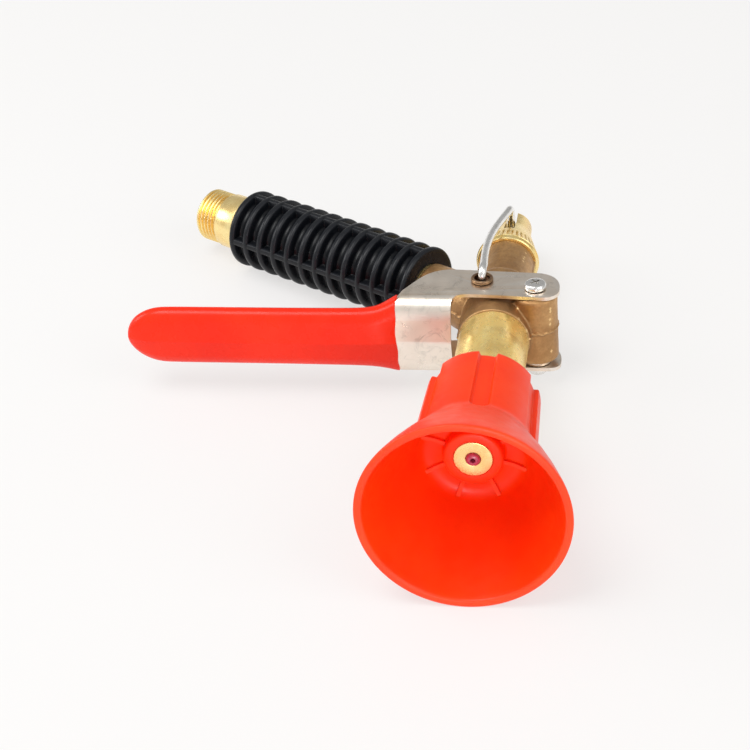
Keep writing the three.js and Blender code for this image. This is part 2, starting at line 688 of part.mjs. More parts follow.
function returnSpring() {
  const start = COLLAR_FRONT - 2 - GAP - SPRING_WIRE_R;
  const end = CAP_WALL_FRONT + GAP + SPRING_WIRE_R;
  return tube(new Helix(SPRING_R, start, end, SPRING_COILS), SPRING_WIRE_R, SPRING_COILS * 9, 3);
}

// ---------------------------------------------------------------- nozzle and bell hood

function nozzleCap() {
  return alongX([
    [TUBE_R + 0.4, NOZZLE_REAR], [NOZZLE_R, NOZZLE_REAR], [NOZZLE_R, NOZZLE_SHOULDER],
    [NOSE_R, NOZZLE_SHOULDER], [NOSE_R, NOSE_FRONT], [INSERT_R + GAP, NOSE_FRONT],
    [INSERT_R + GAP, 95.6], [1.6, 95.6], [1.6, 93], [6.5, 89.5], [TUBE_THREAD_R + 0.35, 89.5],
    [TUBE_THREAD_R + 0.35, 70], [TUBE_R + 0.4, 70], [TUBE_R + 0.4, 66.9],
    [15.05, 66.9], [15.05, 64.7], [TUBE_R + 0.4, 64.7],
  ]);
}

function ceramicInsert() {
  return alongX([
    [0.9, 95.9], [INSERT_R, 95.9], [INSERT_R, 100], [1.9, 100.8], [0.9, 101],
  ], 28);
}

function bellHood() {
  const shell = alongX([
    [HOOD_BORE_R, HOOD_REAR], [HUB_REAR_R - 1, HOOD_REAR], [HUB_REAR_R, HOOD_REAR + 1.2],
    [HUB_FRONT_R, 94], [22.4, 99], [24.6, 104], [28.6, 114], [32.6, 124.5], [35.6, 132.6],
    [HOOD_RIM_R, HOOD_RIM - 0.5], [HOOD_RIM_R - 0.3, HOOD_RIM], [HOOD_RIM_R - 2.2, HOOD_RIM],
    [32.8, 132.2], [30.2, 125], [26.2, 115], [22.4, 106], [19.8, 99.5], [18.6, 96], [16.5, 94.8],
    [10.3, 94.8], [10.3, NOSE_FRONT], [NOSE_R + GAP, NOSE_FRONT],
    [NOSE_R + GAP, NOZZLE_SHOULDER + GAP], [HOOD_BORE_R, NOZZLE_SHOULDER + GAP],
  ], 32);
  const recesses = [];
  for (let i = 0; i < HUB_LOBES; i += 1) {
    const cutter = block(
      new THREE.Vector3(HOOD_REAR - 1, -3.1, 0), new THREE.Vector3(96.5, 3.1, 6),
    );
    cutter.translate(-HOOD_REAR, 0, 0).rotateY(-Math.atan2(HUB_FRONT_R - HUB_REAR_R, 32));
    cutter.translate(HOOD_REAR, 0, HUB_REAR_R - HUB_RECESS_DEPTH);
    recesses.push(solid(cutter.rotateX(-HUB_RECESS_ANGLE - (i * 2 * Math.PI) / HUB_LOBES)));
  }
  const webs = [];
  for (let i = 0; i < WEB_COUNT; i += 1) {
    const web = block(new THREE.Vector3(94, -0.8, 9.8), new THREE.Vector3(98.6, 0.8, 19.8));
    webs.push(solid(web.rotateX(-WEB_ANGLE - (i * 2 * Math.PI) / WEB_COUNT)));
  }
  return join([cut(shell, recesses), ...webs]);
}

// ---------------------------------------------------------------- assembly

const gun = new THREE.Group();

piece(gun, 'body_casting', bodyCasting(), castBrass);
piece(gun, 'front_barrel', frontBarrel(), brightBrass);
piece(gun, 'body_o_ring', oRing(BODY_SEAL_X, 9.55, 0.55), rubber);
piece(gun, 'valve_seat', valveSeat(), turnedBrass);
piece(gun, 'swirl_core', swirlCore(), turnedBrass);
piece(gun, 'stem_o_ring_front', oRing(PACKING_FRONT - 1.6, 4, 1.4), rubber);
piece(gun, 'stem_o_ring_rear', oRing(PACKING_FRONT - 4.5, 4, 1.4), rubber);
piece(gun, 'gland_bush', glandBush(), turnedBrass);
piece(gun, 'rear_cap', rearCap(), turnedBrass);
piece(gun, 'inlet_pipe', inletPipe(), turnedBrass);
piece(gun, 'grip_sleeve', gripSleeve(), blackPlastic);
piece(gun, 'pivot_screw', pivotScrew(), brightSteel);
piece(gun, 'pivot_nut', pivotNut(), brightSteel);
piece(gun, 'pivot_washer', pivotWasher(), steel);

const lever = new THREE.Group();
lever.position.set(PIVOT.x, PIVOT.y, 0);
gun.add(lever);
piece(lever, 'lever_plate', leverPlate(), steel);
piece(lever, 'lever_coat', leverCoat(), redVinyl);
piece(gun, 'eyelet_upper', eyelet(1), bronze);
piece(gun, 'eyelet_lower', eyelet(-1), bronze);
piece(gun, 'wire_bail', wireBail(), brightSteel);

piece(gun, 'valve_stem', valveStem(), brightSteel);
piece(gun, 'stem_eye', stemEye(), brightSteel);
piece(gun, 'poppet', poppet(), turnedBrass);
piece(gun, 'poppet_seal', poppetSeal(), rubber);
piece(gun, 'poppet_nut', poppetNut(), turnedBrass);
piece(gun, 'spring_collar', springCollar(), turnedBrass);
piece(gun, 'return_spring', returnSpring(), springSteel);

piece(gun, 'nozzle_o_ring', oRing(65.8, 14.05, 0.7), rubber);
piece(gun, 'nozzle_cap', nozzleCap(), turnedBrass);
piece(gun, 'ceramic_insert', ceramicInsert(), pinkCeramic);
piece(gun, 'bell_hood', bellHood(), redPlastic);

// ---------------------------------------------------------------- how the gun lies

// The lowest point, against the upward normal, of a circle about a unit axis.
function lowestPoint({ centre, axis, radius }, up) {
  const down = up.clone().negate();
  down.addScaledVector(axis, -down.dot(axis)).setLength(radius);
  return centre.clone().add(down);
}

// The plane under the hood's rim, the grip's far ring and the bail.
function restingNormal() {
  const barrelAxis = new THREE.Vector3(1, 0, 0);
  const gripAxis = new THREE.Vector3(-Math.sin(GRIP_ANGLE), -Math.cos(GRIP_ANGLE), 0);
  const sleeveEnd = SLEEVE_START + RING_WIDTH + (RING_COUNT - 1) * RING_PITCH;
  const rim = { centre: new THREE.Vector3(HOOD_RIM, 0, 0), axis: barrelAxis, radius: HOOD_RIM_R };
  const ring = { centre: gripAxis.clone().multiplyScalar(sleeveEnd), axis: gripAxis, radius: RING_R };
  const bail = new THREE.Vector3(BAIL_X, 0, -BAIL_HALF_HEIGHT - WIRE_R);
  let up = new THREE.Vector3(0, 0, 1);
  for (let step = 0; step < 6; step += 1) {
    const a = lowestPoint(rim, up);
    const b = lowestPoint(ring, up);
    up = new THREE.Vector3().crossVectors(b.sub(a), bail.clone().sub(a)).normalize();
    up.multiplyScalar(Math.sign(up.z));
  }
  return up;
}

// Turn the gun so that the resting plane is level and the barrel points to -Y in plan.
const up = restingNormal();
const forward = new THREE.Vector3(1, 0, 0).addScaledVector(up, -up.x).normalize();
const right = new THREE.Vector3().crossVectors(up, forward);
const turn = new THREE.Matrix4().makeBasis(forward, right, up).invert();
gun.applyMatrix4(new THREE.Matrix4().makeRotationZ(-Math.PI / 2).multiply(turn));
gun.updateMatrixWorld(true);

const bounds = new THREE.Box3().setFromObject(gun, true);
gun.position.x -= (bounds.min.x + bounds.max.x) / 2;
gun.position.y -= (bounds.min.y + bounds.max.y) / 2;
gun.position.z -= bounds.min.z;

const sprayGun = new THREE.Group();
sprayGun.add(gun);

export default sprayGun;
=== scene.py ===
"""Looks of a lever-operated brass spray gun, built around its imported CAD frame.

Pieces are drawn in the gun's own millimetres: +X runs along the barrel to the bell, +Z is the
lever's pivot axis, and the origin is where the grip's axis meets the barrel's axis. Pieces on the
grip are drawn with +Z along the grip and +X up.
"""

import json
import math

import bmesh
import bpy
from mathutils import Euler, Matrix, Vector, noise


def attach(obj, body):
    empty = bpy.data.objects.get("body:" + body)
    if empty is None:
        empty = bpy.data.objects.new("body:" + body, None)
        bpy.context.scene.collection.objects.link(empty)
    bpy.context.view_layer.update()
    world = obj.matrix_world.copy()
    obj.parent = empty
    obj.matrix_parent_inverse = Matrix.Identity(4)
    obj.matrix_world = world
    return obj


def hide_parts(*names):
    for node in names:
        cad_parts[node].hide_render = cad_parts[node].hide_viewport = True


MM = 0.001

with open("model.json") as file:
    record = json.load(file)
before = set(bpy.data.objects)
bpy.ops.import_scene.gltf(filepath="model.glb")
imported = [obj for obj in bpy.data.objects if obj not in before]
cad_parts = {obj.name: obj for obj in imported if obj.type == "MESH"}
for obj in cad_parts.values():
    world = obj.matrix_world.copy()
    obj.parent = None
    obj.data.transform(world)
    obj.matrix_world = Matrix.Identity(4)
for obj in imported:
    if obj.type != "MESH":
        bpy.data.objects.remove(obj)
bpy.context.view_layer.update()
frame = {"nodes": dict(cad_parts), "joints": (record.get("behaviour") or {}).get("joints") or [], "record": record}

# ---------------------------------------------------------------- dimensions, in millimetres

PIVOT = Vector((10.8, 14.8, 0))
EYELET = Vector((5.6, -5.2, 0))
GRIP_ANGLE = math.radians(31.6)

# the casting, with its parting line
BARREL_R = 13.3
BARREL_REAR = -36
BARREL_FRONT = 22.2
BOSS_R = 8
BOSS_LOW = -12
BOSS_HIGH = 14.2
SCREW_HOLE_R = 2.9
BRANCH_R = 9.6
BRANCH_END = 32.7
PARTING_HEIGHT = 0.9
PARTING_RELIEF = 0.5

# the front tube
TUBE_R = 12.95
TUBE_BORE_R = 7.2

# the rear cap
CHAMBER_R = 5.1
CAP_REAR = -66
KNURL_COUNT = 38
KNURL_START = -45.2
KNURL_END = -38.2
KNURL_DEPTH = 0.6

# the grip's sleeve
SLEEVE_START = 33.65
SLEEVE_BORE_R = 9.3
SLEEVE_CORE_R = 11.6
RING_R = 15.47
RING_COUNT = 13
RING_PITCH = 7.27
RING_WIDTH = 2.8
RIB_R = 15.3
RIB_TURN = math.radians(3.5)
RIB_HALF_WIDTH = 1.2
RIB_FILLET = 0.45
RIB_MID_R = 14
# half of a ring's section and half of the valley between rings: radius and distance from the ring's edge
RING_EDGE = ((13.4, 0.06), (14.7, 0.14), (15.2, 0.36), (15.44, 0.85), (RING_R, 1.4))
VALLEY = ((SLEEVE_CORE_R, 1.3), (SLEEVE_CORE_R + 0.1, 0.4), (SLEEVE_CORE_R + 0.5, 0))

# the inlet's thread
THREAD_START = 137.6
THREAD_PITCH = 1.814
THREAD_TURNS = 5
THREAD_ROOT_R = 9.32
THREAD_DEPTH = 1.16
THREAD_END = THREAD_START + THREAD_TURNS * THREAD_PITCH
THREAD_RUN_OUT = 0.7
# in half pitches from a crest's middle: where a flank meets the root, and how wide the flank is
FLANK_FOOT = 0.82
FLANK_WIDTH = 0.62

# the hood
HUB_LOBES = 6
RECESS_ANGLE = math.radians(7.5)
RECESS_HALF_ANGLE = math.radians(9)
RECESS_DEPTH = 1.7
WEB_COUNT = 8
WEB_ANGLE = math.radians(19.5)
WEB_HALF_WIDTH = 0.7
HUB_START = 62.0

# the lever
LEVER_HALF_HEIGHT = 16
LEVER_THICKNESS = 1.3
NOSE_START = 4.2
NOSE_DEPTH = 9.7
# half of the channel's outline: fractions of its depth and of its half height, edge to ridge
NOSE = ((0, 1), (0.2, 0.985), (0.4, 0.93), (0.59, 0.81), (0.74, 0.62), (0.875, 0.33), (1, 0))

# the lever's coat
COAT_START = -50.4
COAT_THICKNESS = 1.4
COAT_WAVE = 0.8
COAT_TIP = 15.6

# the screw and the nut
SCREW_R = 2.6
SCREW_HEAD_R = 4.15
CROSS_HALF_LENGTH = 2.1
CROSS_HALF_WIDTH = 0.42
NUT_INRADIUS = 3.62

# the bail
BAIL_R = 1.5
BAIL_BEND = 4.5
BAIL_BOW = 2.4
BAIL_REAR = -58
BAIL_HALF_WIDTH = 13.8
BAIL_TOP = 20.7
BAIL_END = 14.3

# the viewing point in the gun's own axes, in millimetres and degrees
CAMERA_PLACE = (727.2, 79.1, 421.4)
CAMERA_TURN = (58.537, 3.669, 97.738)
CAMERA_LENS = 108.04

# ---------------------------------------------------------------- frames of reference

joints = {joint["name"]: joint for joint in frame["joints"]}


def gun_matrix():
    """The gun's axes and origin in the row frame, rebuilt from its joints."""
    x = Vector(joints["stem_slide"]["axis"]).normalized()
    z = Vector(joints["lever_pivot"]["axis"]).normalized()
    y = z.cross(x)
    origin = Vector(joints["lever_pivot"]["pos_m"]) - (x * PIVOT.x + y * PIVOT.y) * MM
    matrix = Matrix((x, y, z)).transposed().to_4x4()
    matrix.translation = origin
    return matrix


def grip_matrix():
    """The grip's axes within the gun's."""
    along = Vector((-math.sin(GRIP_ANGLE), -math.cos(GRIP_ANGLE), 0))
    up = Vector((0, 0, 1))
    return Matrix((up, along.cross(up), along)).transposed().to_4x4()


GUN = gun_matrix()
GRIP_IN_GUN = grip_matrix()
GRIP = GUN @ GRIP_IN_GUN

# ---------------------------------------------------------------- sums


def clamp(value):
    return min(1, max(0, value))


def ease(t):
    """A smooth step from 0 to 1."""
    return t * t * (3 - 2 * t)


def bend(a, corner, b, t):
    """A point on the curve that leaves a towards the corner and comes in to b."""
    return a * (1 - t) ** 2 + corner * (2 * t * (1 - t)) + b * t * t


# ---------------------------------------------------------------- mesh making

WELD = 1e-6
BEVEL_ANGLE = math.radians(35)


def mesh_of(points, faces):
    """A mesh from points in millimetres, welded and facing outwards."""
    mesh = bpy.data.meshes.new("mesh")
    mesh.from_pydata([tuple(c * MM for c in p) for p in points], [], faces)
    shape = bmesh.new()
    shape.from_mesh(mesh)
    bmesh.ops.remove_doubles(shape, verts=shape.verts, dist=WELD)
    bmesh.ops.recalc_face_normals(shape, faces=shape.faces)
    shape.to_mesh(mesh)
    shape.free()
    return mesh


def skin(rows, wrap=False, caps=True):
    """A mesh over equal closed rings of points; wrap joins the last ring to the first."""
    count = len(rows[0])
    faces = []
    for r in range(len(rows) if wrap else len(rows) - 1):
        a, b = r * count, (r + 1) % len(rows) * count
        for c in range(count):
            d = (c + 1) % count
            faces.append((a + c, a + d, b + d, b + c))
    if caps and not wrap:
        faces.append(tuple(range(count)))
        faces.append(tuple(range((len(rows) - 1) * count, len(rows) * count)))
    return mesh_of([p for row in rows for p in row], faces)


def rounded(points, radius, steps=3, closed=True):
    """The outline with its corners rounded."""
    result = []
    last = len(points) - 1
    for i, corner in enumerate(points):
        if not closed and i in (0, last):
            result.append(tuple(corner))
            continue
        here = Vector(corner)
        before = Vector(points[i - 1]) - here
        after = Vector(points[(i + 1) % len(points)]) - here
        a = here + before * min(0.45, radius / max(before.length, 1e-9))
        b = here + after * min(0.45, radius / max(after.length, 1e-9))
        result += [tuple(bend(a, here, b, k / steps)) for k in range(steps + 1)]
    return result


def around_x(r, h, angle):
    return (h, r * math.sin(angle), r * math.cos(angle))


def around_z(r, h, angle):
    return (r * math.cos(angle), r * math.sin(angle), h)


def lathe(profile, place, segments=96, radius=None, centre=(0, 0, 0), closed=True):
    """A profile of (radius, height) turned about an axis; radius may vary it with the angle."""
    rows = []
    for r, h in profile:
        row = []
        for k in range(segments):
            angle = 2 * math.pi * k / segments
            reach = radius(r, h, angle) if radius else r
            row.append(Vector(place(reach, h, angle)) + Vector(centre))
        rows.append(row)
    return skin(rows, wrap=closed, caps=False)


def plug(radius, low, high, place=around_x, **options):
    """A round rod, mostly to cut a bore with."""
    return lathe([(0, low), (radius, low), (radius, high), (0, high)], place, closed=False, **options)


def box(low, high, turn=None):
    """A block between two corners, turned by a matrix."""
    spans = tuple(zip(low, high))
    corners = [Vector((x, y, z)) for x in spans[0] for y in spans[1] for z in spans[2]]
    if turn:
        corners = [turn @ c for c in corners]
    faces = [(0, 1, 3, 2), (4, 6, 7, 5), (0, 4, 5, 1), (2, 3, 7, 6), (0, 2, 6, 4), (1, 5, 7, 3)]
    return mesh_of(corners, faces)


def prism(outline, low, high, place):
    """An outline extruded from low to high; place turns (u, v, w) into a point."""
    rows = [[place(u, v, w) for u, v in outline] for w in (low, high)]
    return skin(rows)


def trace(start, *legs, steps=14):
    """An outline: a leg is a point, for a line, or three, for a cubic curve."""
    points = [start]
    for leg in legs:
        if isinstance(leg[0], (int, float)):
            points.append(leg)
            continue
        p0 = Vector(points[-1])
        p1, p2, p3 = (Vector(p) for p in leg)
        for k in range(1, steps + 1):
            t = k / steps
            s = 1 - t
            point = p0 * s**3 + p1 * (3 * s * s * t) + p2 * (3 * s * t * t) + p3 * t**3
            points.append(tuple(point))
    return points


def sweep(path, radius, sides=20):
    """A round wire along a path of points."""
    rows = []
    side = Vector((0, 1, 0))
    for i, point in enumerate(path):
        ahead = path[min(i + 1, len(path) - 1)] - path[max(i - 1, 0)]
        ahead.normalize()
        side = (side - ahead * side.dot(ahead)).normalized()
        across = ahead.cross(side)
        rows.append([
            point + (side * math.cos(a) + across * math.sin(a)) * radius
            for a in (2 * math.pi * k / sides for k in range(sides))
        ])
    return skin(rows)


def together(*meshes):
    """Several meshes as one, not merged."""
    whole = bmesh.new()
    for mesh in meshes:
        whole.from_mesh(mesh)
    result = bpy.data.meshes.new("mesh")
    whole.to_mesh(result)
    whole.free()
    return result


def link(obj):
    """The object, put in the scene."""
    bpy.context.collection.objects.link(obj)
    return obj


def worked(mesh, *steps):
    """The mesh with modifiers applied: each step is its type and its settings."""
    subject = link(bpy.data.objects.new("subject", mesh))
    for kind, settings in steps:
        modifier = subject.modifiers.new(kind, kind)
        for key, value in settings.items():
            setattr(modifier, key, value)
    graph = bpy.context.evaluated_depsgraph_get()
    result = bpy.data.meshes.new_from_object(subject.evaluated_get(graph))
    bpy.data.objects.remove(subject)
    return result


def carved(mesh, tool_mesh, operation="DIFFERENCE"):
    """The mesh less a tool, or what both share."""
    tool = link(bpy.data.objects.new("tool", tool_mesh))
    settings = {"object": tool, "operation": operation, "solver": "MANIFOLD"}
    result = worked(mesh, ("BOOLEAN", settings))
    bpy.data.objects.remove(tool)
    return result


def moved(mesh, matrix):
    """The mesh moved by a matrix in millimetres."""
    scaled = matrix.copy()
    scaled.translation = matrix.translation * MM
    mesh.transform(scaled)
    return mesh


replaced = set()


def piece(name, mesh, look, body, node, place=GUN, bevel=0.0, sharp=38):
    """Adds one shown piece, which rides on a body and stands for a CAD node.

    bevel is the rounding of its edges in millimetres, and edges past sharp degrees are shaded sharp.
    """
    mesh.shade_smooth()
    mesh.set_sharp_from_angle(angle=math.radians(sharp))
    mesh.materials.clear()
    mesh.materials.append(LOOKS[look])
    obj = link(bpy.data.objects.new(name, mesh))
    obj.matrix_world = place
    if bevel:
        edge = obj.modifiers.new("edge", "BEVEL")
        edge.width = bevel * MM
        edge.segments = 2
        edge.limit_method = "ANGLE"
        edge.angle_limit = BEVEL_ANGLE
        edge.harden_normals = True
    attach(obj, body)
    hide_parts(node)
    replaced.add(node)


# ---------------------------------------------------------------- materials


def map_range(tree, value, low, high, to_low, to_high):
    """A node that takes low..high to to_low..to_high, and stops at both."""
    node = tree.nodes.new("ShaderNodeMapRange")
    limits = {"From Min": low, "From Max": high, "To Min": to_low, "To Max": to_high}
    for key, number in limits.items():
        node.inputs[key].default_value = number
    tree.links.new(value, node.inputs["Value"])
    return node.outputs["Result"]


class Look:
    """A node material being built around one Principled shader."""

    def __init__(self, name, **values):
        self.material = bpy.data.materials.new(name)
        self.material.use_nodes = True
        self.tree = self.material.node_tree
        self.nodes = self.tree.nodes
        self.links = self.tree.links
        self.shader = self.nodes["Principled BSDF"]
        for key, value in values.items():
            self.shader.inputs[key.replace("_", " ")].default_value = value
        self.coords = self.nodes.new("ShaderNodeTexCoord").outputs["Object"]
        self.last_normal = None

    def stretched(self, scale):
        """Object coordinates scaled unevenly, for streaks."""
        mapping = self.nodes.new("ShaderNodeMapping")
        mapping.inputs["Scale"].default_value = scale
        self.links.new(self.coords, mapping.inputs["Vector"])
        return mapping.outputs["Vector"]

    def noise(self, scale, detail=4.0, roughness=0.55, coords=None, distortion=0.0):
        node = self.nodes.new("ShaderNodeTexNoise")
        node.inputs["Scale"].default_value = scale
        node.inputs["Detail"].default_value = detail
        node.inputs["Roughness"].default_value = roughness
        node.inputs["Distortion"].default_value = distortion
        self.links.new(coords or self.coords, node.inputs["Vector"])
        return node.outputs["Fac"]

    def cells(self, scale):
        node = self.nodes.new("ShaderNodeTexVoronoi")
        node.inputs["Scale"].default_value = scale
        self.links.new(self.coords, node.inputs["Vector"])
        return node.outputs["Distance"]

    def rings(self, scale, direction):
        """Fine turning marks: bands square to an axis."""
        node = self.nodes.new("ShaderNodeTexWave")
        node.bands_direction = direction
        node.inputs["Scale"].default_value = scale
        node.inputs["Distortion"].default_value = 1.2
        node.inputs["Detail"].default_value = 2.0
        node.inputs["Detail Scale"].default_value = 1.0
        self.links.new(self.coords, node.inputs["Vector"])
        return node.outputs["Fac"]

    def edges(self, amount, low=0.505, high=0.56):
        """The amount on outer corners, 0 on flats and in hollows: the looks use it to paint a lighter colour along
        edges, a painted highlight.
        """
        geometry = self.nodes.new("ShaderNodeNewGeometry")
        return self.remap(geometry.outputs["Pointiness"], low, high, 0, amount)

    def hollows(self, amount):
        """The amount in hollows, 0 on flats and on outer corners."""
        geometry = self.nodes.new("ShaderNodeNewGeometry")
        return self.remap(geometry.outputs["Pointiness"], 0.495, 0.44, 0, amount)

    def remap(self, value, low, high, to_low, to_high):
        return map_range(self.tree, value, low, high, to_low, to_high)

    def mix(self, amount, a, b):
        """A colour between a and b; either is a colour or an output."""
        node = self.nodes.new("ShaderNodeMix")
        node.data_type = "RGBA"
        self.links.new(amount, node.inputs["Factor"])
        for socket, colour in ((node.inputs[6], a), (node.inputs[7], b)):
            if isinstance(colour, tuple):
                socket.default_value = (*colour, 1)
            else:
                self.links.new(colour, socket)
        return node.outputs[2]

    def colour(self, output):
        self.links.new(output, self.shader.inputs["Base Color"])
        return self

    def roughness(self, output):
        self.links.new(output, self.shader.inputs["Roughness"])
        return self

    def bump(self, height, strength, distance):
        """Adds relief; distance is in metres."""
        node = self.nodes.new("ShaderNodeBump")
        node.inputs["Strength"].default_value = strength
        node.inputs["Distance"].default_value = distance
        self.links.new(height, node.inputs["Height"])
        if self.last_normal:
            self.links.new(self.last_normal, node.inputs["Normal"])
        self.last_normal = node.outputs["Normal"]
        self.links.new(self.last_normal, self.shader.inputs["Normal"])
        return self


def cast_brass():
    look = Look("cast_brass", Metallic=0.8)
    patches = look.remap(look.noise(70, 5, 0.6), 0.38, 0.64, 0, 1)
    base = look.mix(patches, (0.42, 0.225, 0.090), (0.64, 0.385, 0.165))
    grain = look.remap(look.noise(900, 3, 0.6), 0.4, 0.7, 0, 0.35)
    base = look.mix(grain, base, (0.27, 0.14, 0.06))
    # painted highlight: lighter brass along the casting's outer edges
    base = look.mix(look.edges(0.75, 0.53, 0.58), base, (0.92, 0.66, 0.32))
    base = look.mix(look.hollows(0.55), base, (0.12, 0.06, 0.03))
    look.colour(base)
    look.roughness(look.remap(look.noise(260, 4), 0.3, 0.7, 0.38, 0.56))
    look.bump(look.noise(1500, 4, 0.65), 0.45, 0.0002)
    look.bump(look.noise(320, 3), 0.35, 0.0004)
    return look.material


def bright_brass():
    look = Look("bright_brass", Metallic=0.6)
    streaks = look.noise(1, 5, 0.6, look.stretched((60, 230, 230)))
    base = look.mix(look.remap(streaks, 0.35, 0.65, 0, 1), (0.97, 0.66, 0.19), (1.0, 0.79, 0.31))
    stains = look.remap(look.noise(95, 5, 0.65, distortion=0.6), 0.52, 0.7, 0, 0.5)
    base = look.mix(stains, base, (0.55, 0.34, 0.11))
    specks = look.remap(look.noise(700, 2), 0.66, 0.74, 0, 0.7)
    look.colour(look.mix(specks, base, (0.22, 0.12, 0.05)))
    look.roughness(look.remap(look.noise(210, 4), 0.3, 0.7, 0.2, 0.36))
    look.bump(look.noise(1, 3, 0.5, look.stretched((300, 2200, 2200))), 0.18, 0.00008)
    look.bump(look.noise(160, 2), 0.2, 0.0003)
    return look.material


def turned_brass(name, direction):
    look = Look(name, Metallic=0.85)
    patches = look.remap(look.noise(150, 4), 0.35, 0.65, 0, 1)
    base = look.mix(patches, (0.96, 0.65, 0.21), (1.0, 0.79, 0.34))
    tarnish = look.remap(look.noise(420, 4, 0.6), 0.6, 0.8, 0, 0.35)
    base = look.mix(tarnish, base, (0.45, 0.26, 0.10))
    base = look.mix(look.hollows(0.7), base, (0.30, 0.16, 0.06))
    # painted highlight: lighter brass along outer edges
    look.colour(look.mix(look.edges(0.5), base, (0.97, 0.80, 0.45)))
    look.roughness(look.remap(look.noise(300, 3), 0.3, 0.7, 0.2, 0.34))
    look.bump(look.rings(420, direction), 0.15, 0.00005)
    look.bump(look.noise(900, 2), 0.12, 0.0001)
    return look.material


def stainless_sheet():
    look = Look("stainless_sheet", Metallic=1.0)
    cloud = look.remap(look.noise(75, 4, 0.6, distortion=0.8), 0.36, 0.66, 0, 1)
    base = look.mix(cloud, (0.80, 0.65, 0.50), (0.95, 0.81, 0.66))
    stains = look.remap(look.noise(150, 5, 0.7, distortion=1.4), 0.53, 0.66, 0, 0.55)
    base = look.mix(stains, base, (0.36, 0.28, 0.19))
    # painted highlight: paler steel along the sheet's edges
    base = look.mix(look.edges(0.5), base, (0.93, 0.91, 0.87))
    look.colour(base)
    brushed = look.noise(1, 4, 0.6, look.stretched((3200, 260, 3200)))
    look.roughness(look.remap(look.noise(120, 4), 0.3, 0.7, 0.24, 0.42))
    look.bump(brushed, 0.12, 0.00005)
    look.bump(look.noise(60, 2), 0.25, 0.0006)
    return look.material


def bright_steel():
    look = Look("bright_steel", Metallic=1.0)
    dull = look.remap(look.noise(280, 4), 0.4, 0.7, 0, 1)
    base = look.mix(dull, (0.90, 0.89, 0.87), (0.78, 0.76, 0.73))
    look.colour(look.mix(look.hollows(0.6), base, (0.22, 0.20, 0.18)))
    look.roughness(look.remap(look.noise(500, 3), 0.3, 0.7, 0.2, 0.3))
    look.bump(look.noise(1400, 2), 0.03, 0.00005)
    return look.material


def bronze():
    look = Look("bronze", Metallic=0.9)
    patches = look.remap(look.noise(420, 4), 0.35, 0.65, 0, 1)
    base = look.mix(patches, (0.13, 0.065, 0.035), (0.30, 0.17, 0.09))
    # painted highlight: lighter bronze along outer edges
    look.colour(look.mix(look.edges(0.7), base, (0.55, 0.38, 0.22)))
    look.roughness(look.remap(look.noise(600, 3), 0.3, 0.7, 0.26, 0.45))
    look.bump(look.noise(1600, 2), 0.15, 0.0001)
    return look.material


def red_plastic():
    look = Look(
        "red_plastic",
        Specular_IOR_Level=0.25,
        Subsurface_Weight=0.15,
        Subsurface_Scale=0.002,
        Subsurface_Radius=(1.0, 0.15, 0.05),
    )
    patches = look.remap(look.noise(40, 3), 0.35, 0.65, 0, 1)
    base = look.mix(patches, (0.92, 0.034, 0.001), (0.97, 0.048, 0.002))
    specks = look.remap(look.noise(480, 4), 0.62, 0.8, 0, 0.35)
    base = look.mix(specks, base, (0.80, 0.022, 0.002))
    # painted highlight: lighter orange along the hood's rim and edges
    look.colour(look.mix(look.edges(0.35), base, (0.98, 0.10, 0.035)))
    look.roughness(look.remap(look.noise(220, 4), 0.3, 0.7, 0.3, 0.42))
    look.bump(look.noise(2600, 2), 0.12, 0.0001)
    look.bump(look.noise(120, 2), 0.12, 0.0004)
    return look.material


def red_vinyl():
    look = Look("red_vinyl", Specular_IOR_Level=0.2, Coat_Weight=0.05, Coat_Roughness=0.2)
    patches = look.remap(look.noise(30, 3), 0.35, 0.65, 0, 1)
    base = look.mix(patches, (0.80, 0.018, 0.003), (0.86, 0.026, 0.005))
    specks = look.remap(look.noise(1100, 2), 0.7, 0.78, 0, 0.4)
    look.colour(look.mix(specks, base, (0.62, 0.012, 0.009)))
    look.roughness(look.remap(look.noise(160, 4), 0.3, 0.7, 0.22, 0.34))
    look.bump(look.noise(85, 2), 0.15, 0.0004)
    look.bump(look.noise(1900, 2), 0.06, 0.0001)
    return look.material


def black_plastic():
    look = Look("black_plastic", Specular_IOR_Level=0.24)
    dust = look.remap(look.noise(260, 5, 0.65), 0.5, 0.75, 0, 1)
    base = look.mix(dust, (0.004, 0.005, 0.007), (0.010, 0.011, 0.014))
    # painted highlight: lighter grey along the rings' and ribs' edges
    look.colour(look.mix(look.edges(0.5), base, (0.022, 0.024, 0.03)))
    look.roughness(look.remap(look.noise(340, 4), 0.3, 0.7, 0.24, 0.4))
    look.bump(look.noise(2000, 3), 0.14, 0.0001)
    return look.material


def rubber():
    look = Look("rubber", Specular_IOR_Level=0.35)
    worn = look.remap(look.noise(500, 4), 0.4, 0.7, 0, 1)
    look.colour(look.mix(worn, (0.012, 0.012, 0.012), (0.03, 0.03, 0.03)))
    look.roughness(look.remap(look.noise(700, 3), 0.3, 0.7, 0.55, 0.75))
    look.bump(look.noise(1800, 2), 0.2, 0.0001)
    return look.material


def pink_ceramic():
    look = Look("pink_ceramic", Specular_IOR_Level=0.6, Coat_Weight=0.4)
    cloud = look.remap(look.noise(900, 4), 0.4, 0.7, 0, 1)
    look.colour(look.mix(cloud, (0.40, 0.045, 0.105), (0.56, 0.10, 0.18)))
    look.roughness(look.remap(look.noise(1200, 3), 0.3, 0.7, 0.22, 0.36))
    look.bump(look.cells(2600), 0.05, 0.00005)
    return look.material


LOOKS = {
    "cast_brass": cast_brass(),
    "bright_brass": bright_brass(),
    "turned_brass": turned_brass("turned_brass", "X"),
    "turned_brass_grip": turned_brass("turned_brass_grip", "Z"),
    "stainless_sheet": stainless_sheet(),
    "bright_steel": bright_steel(),
    "bronze": bronze(),
    "red_plastic": red_plastic(),
    "red_vinyl": red_vinyl(),
    "black_plastic": black_plastic(),
    "rubber": rubber(),
    "pink_ceramic": pink_ceramic(),
}
LOOKS["spring_steel"] = LOOKS["bright_steel"]

# ---------------------------------------------------------------- body


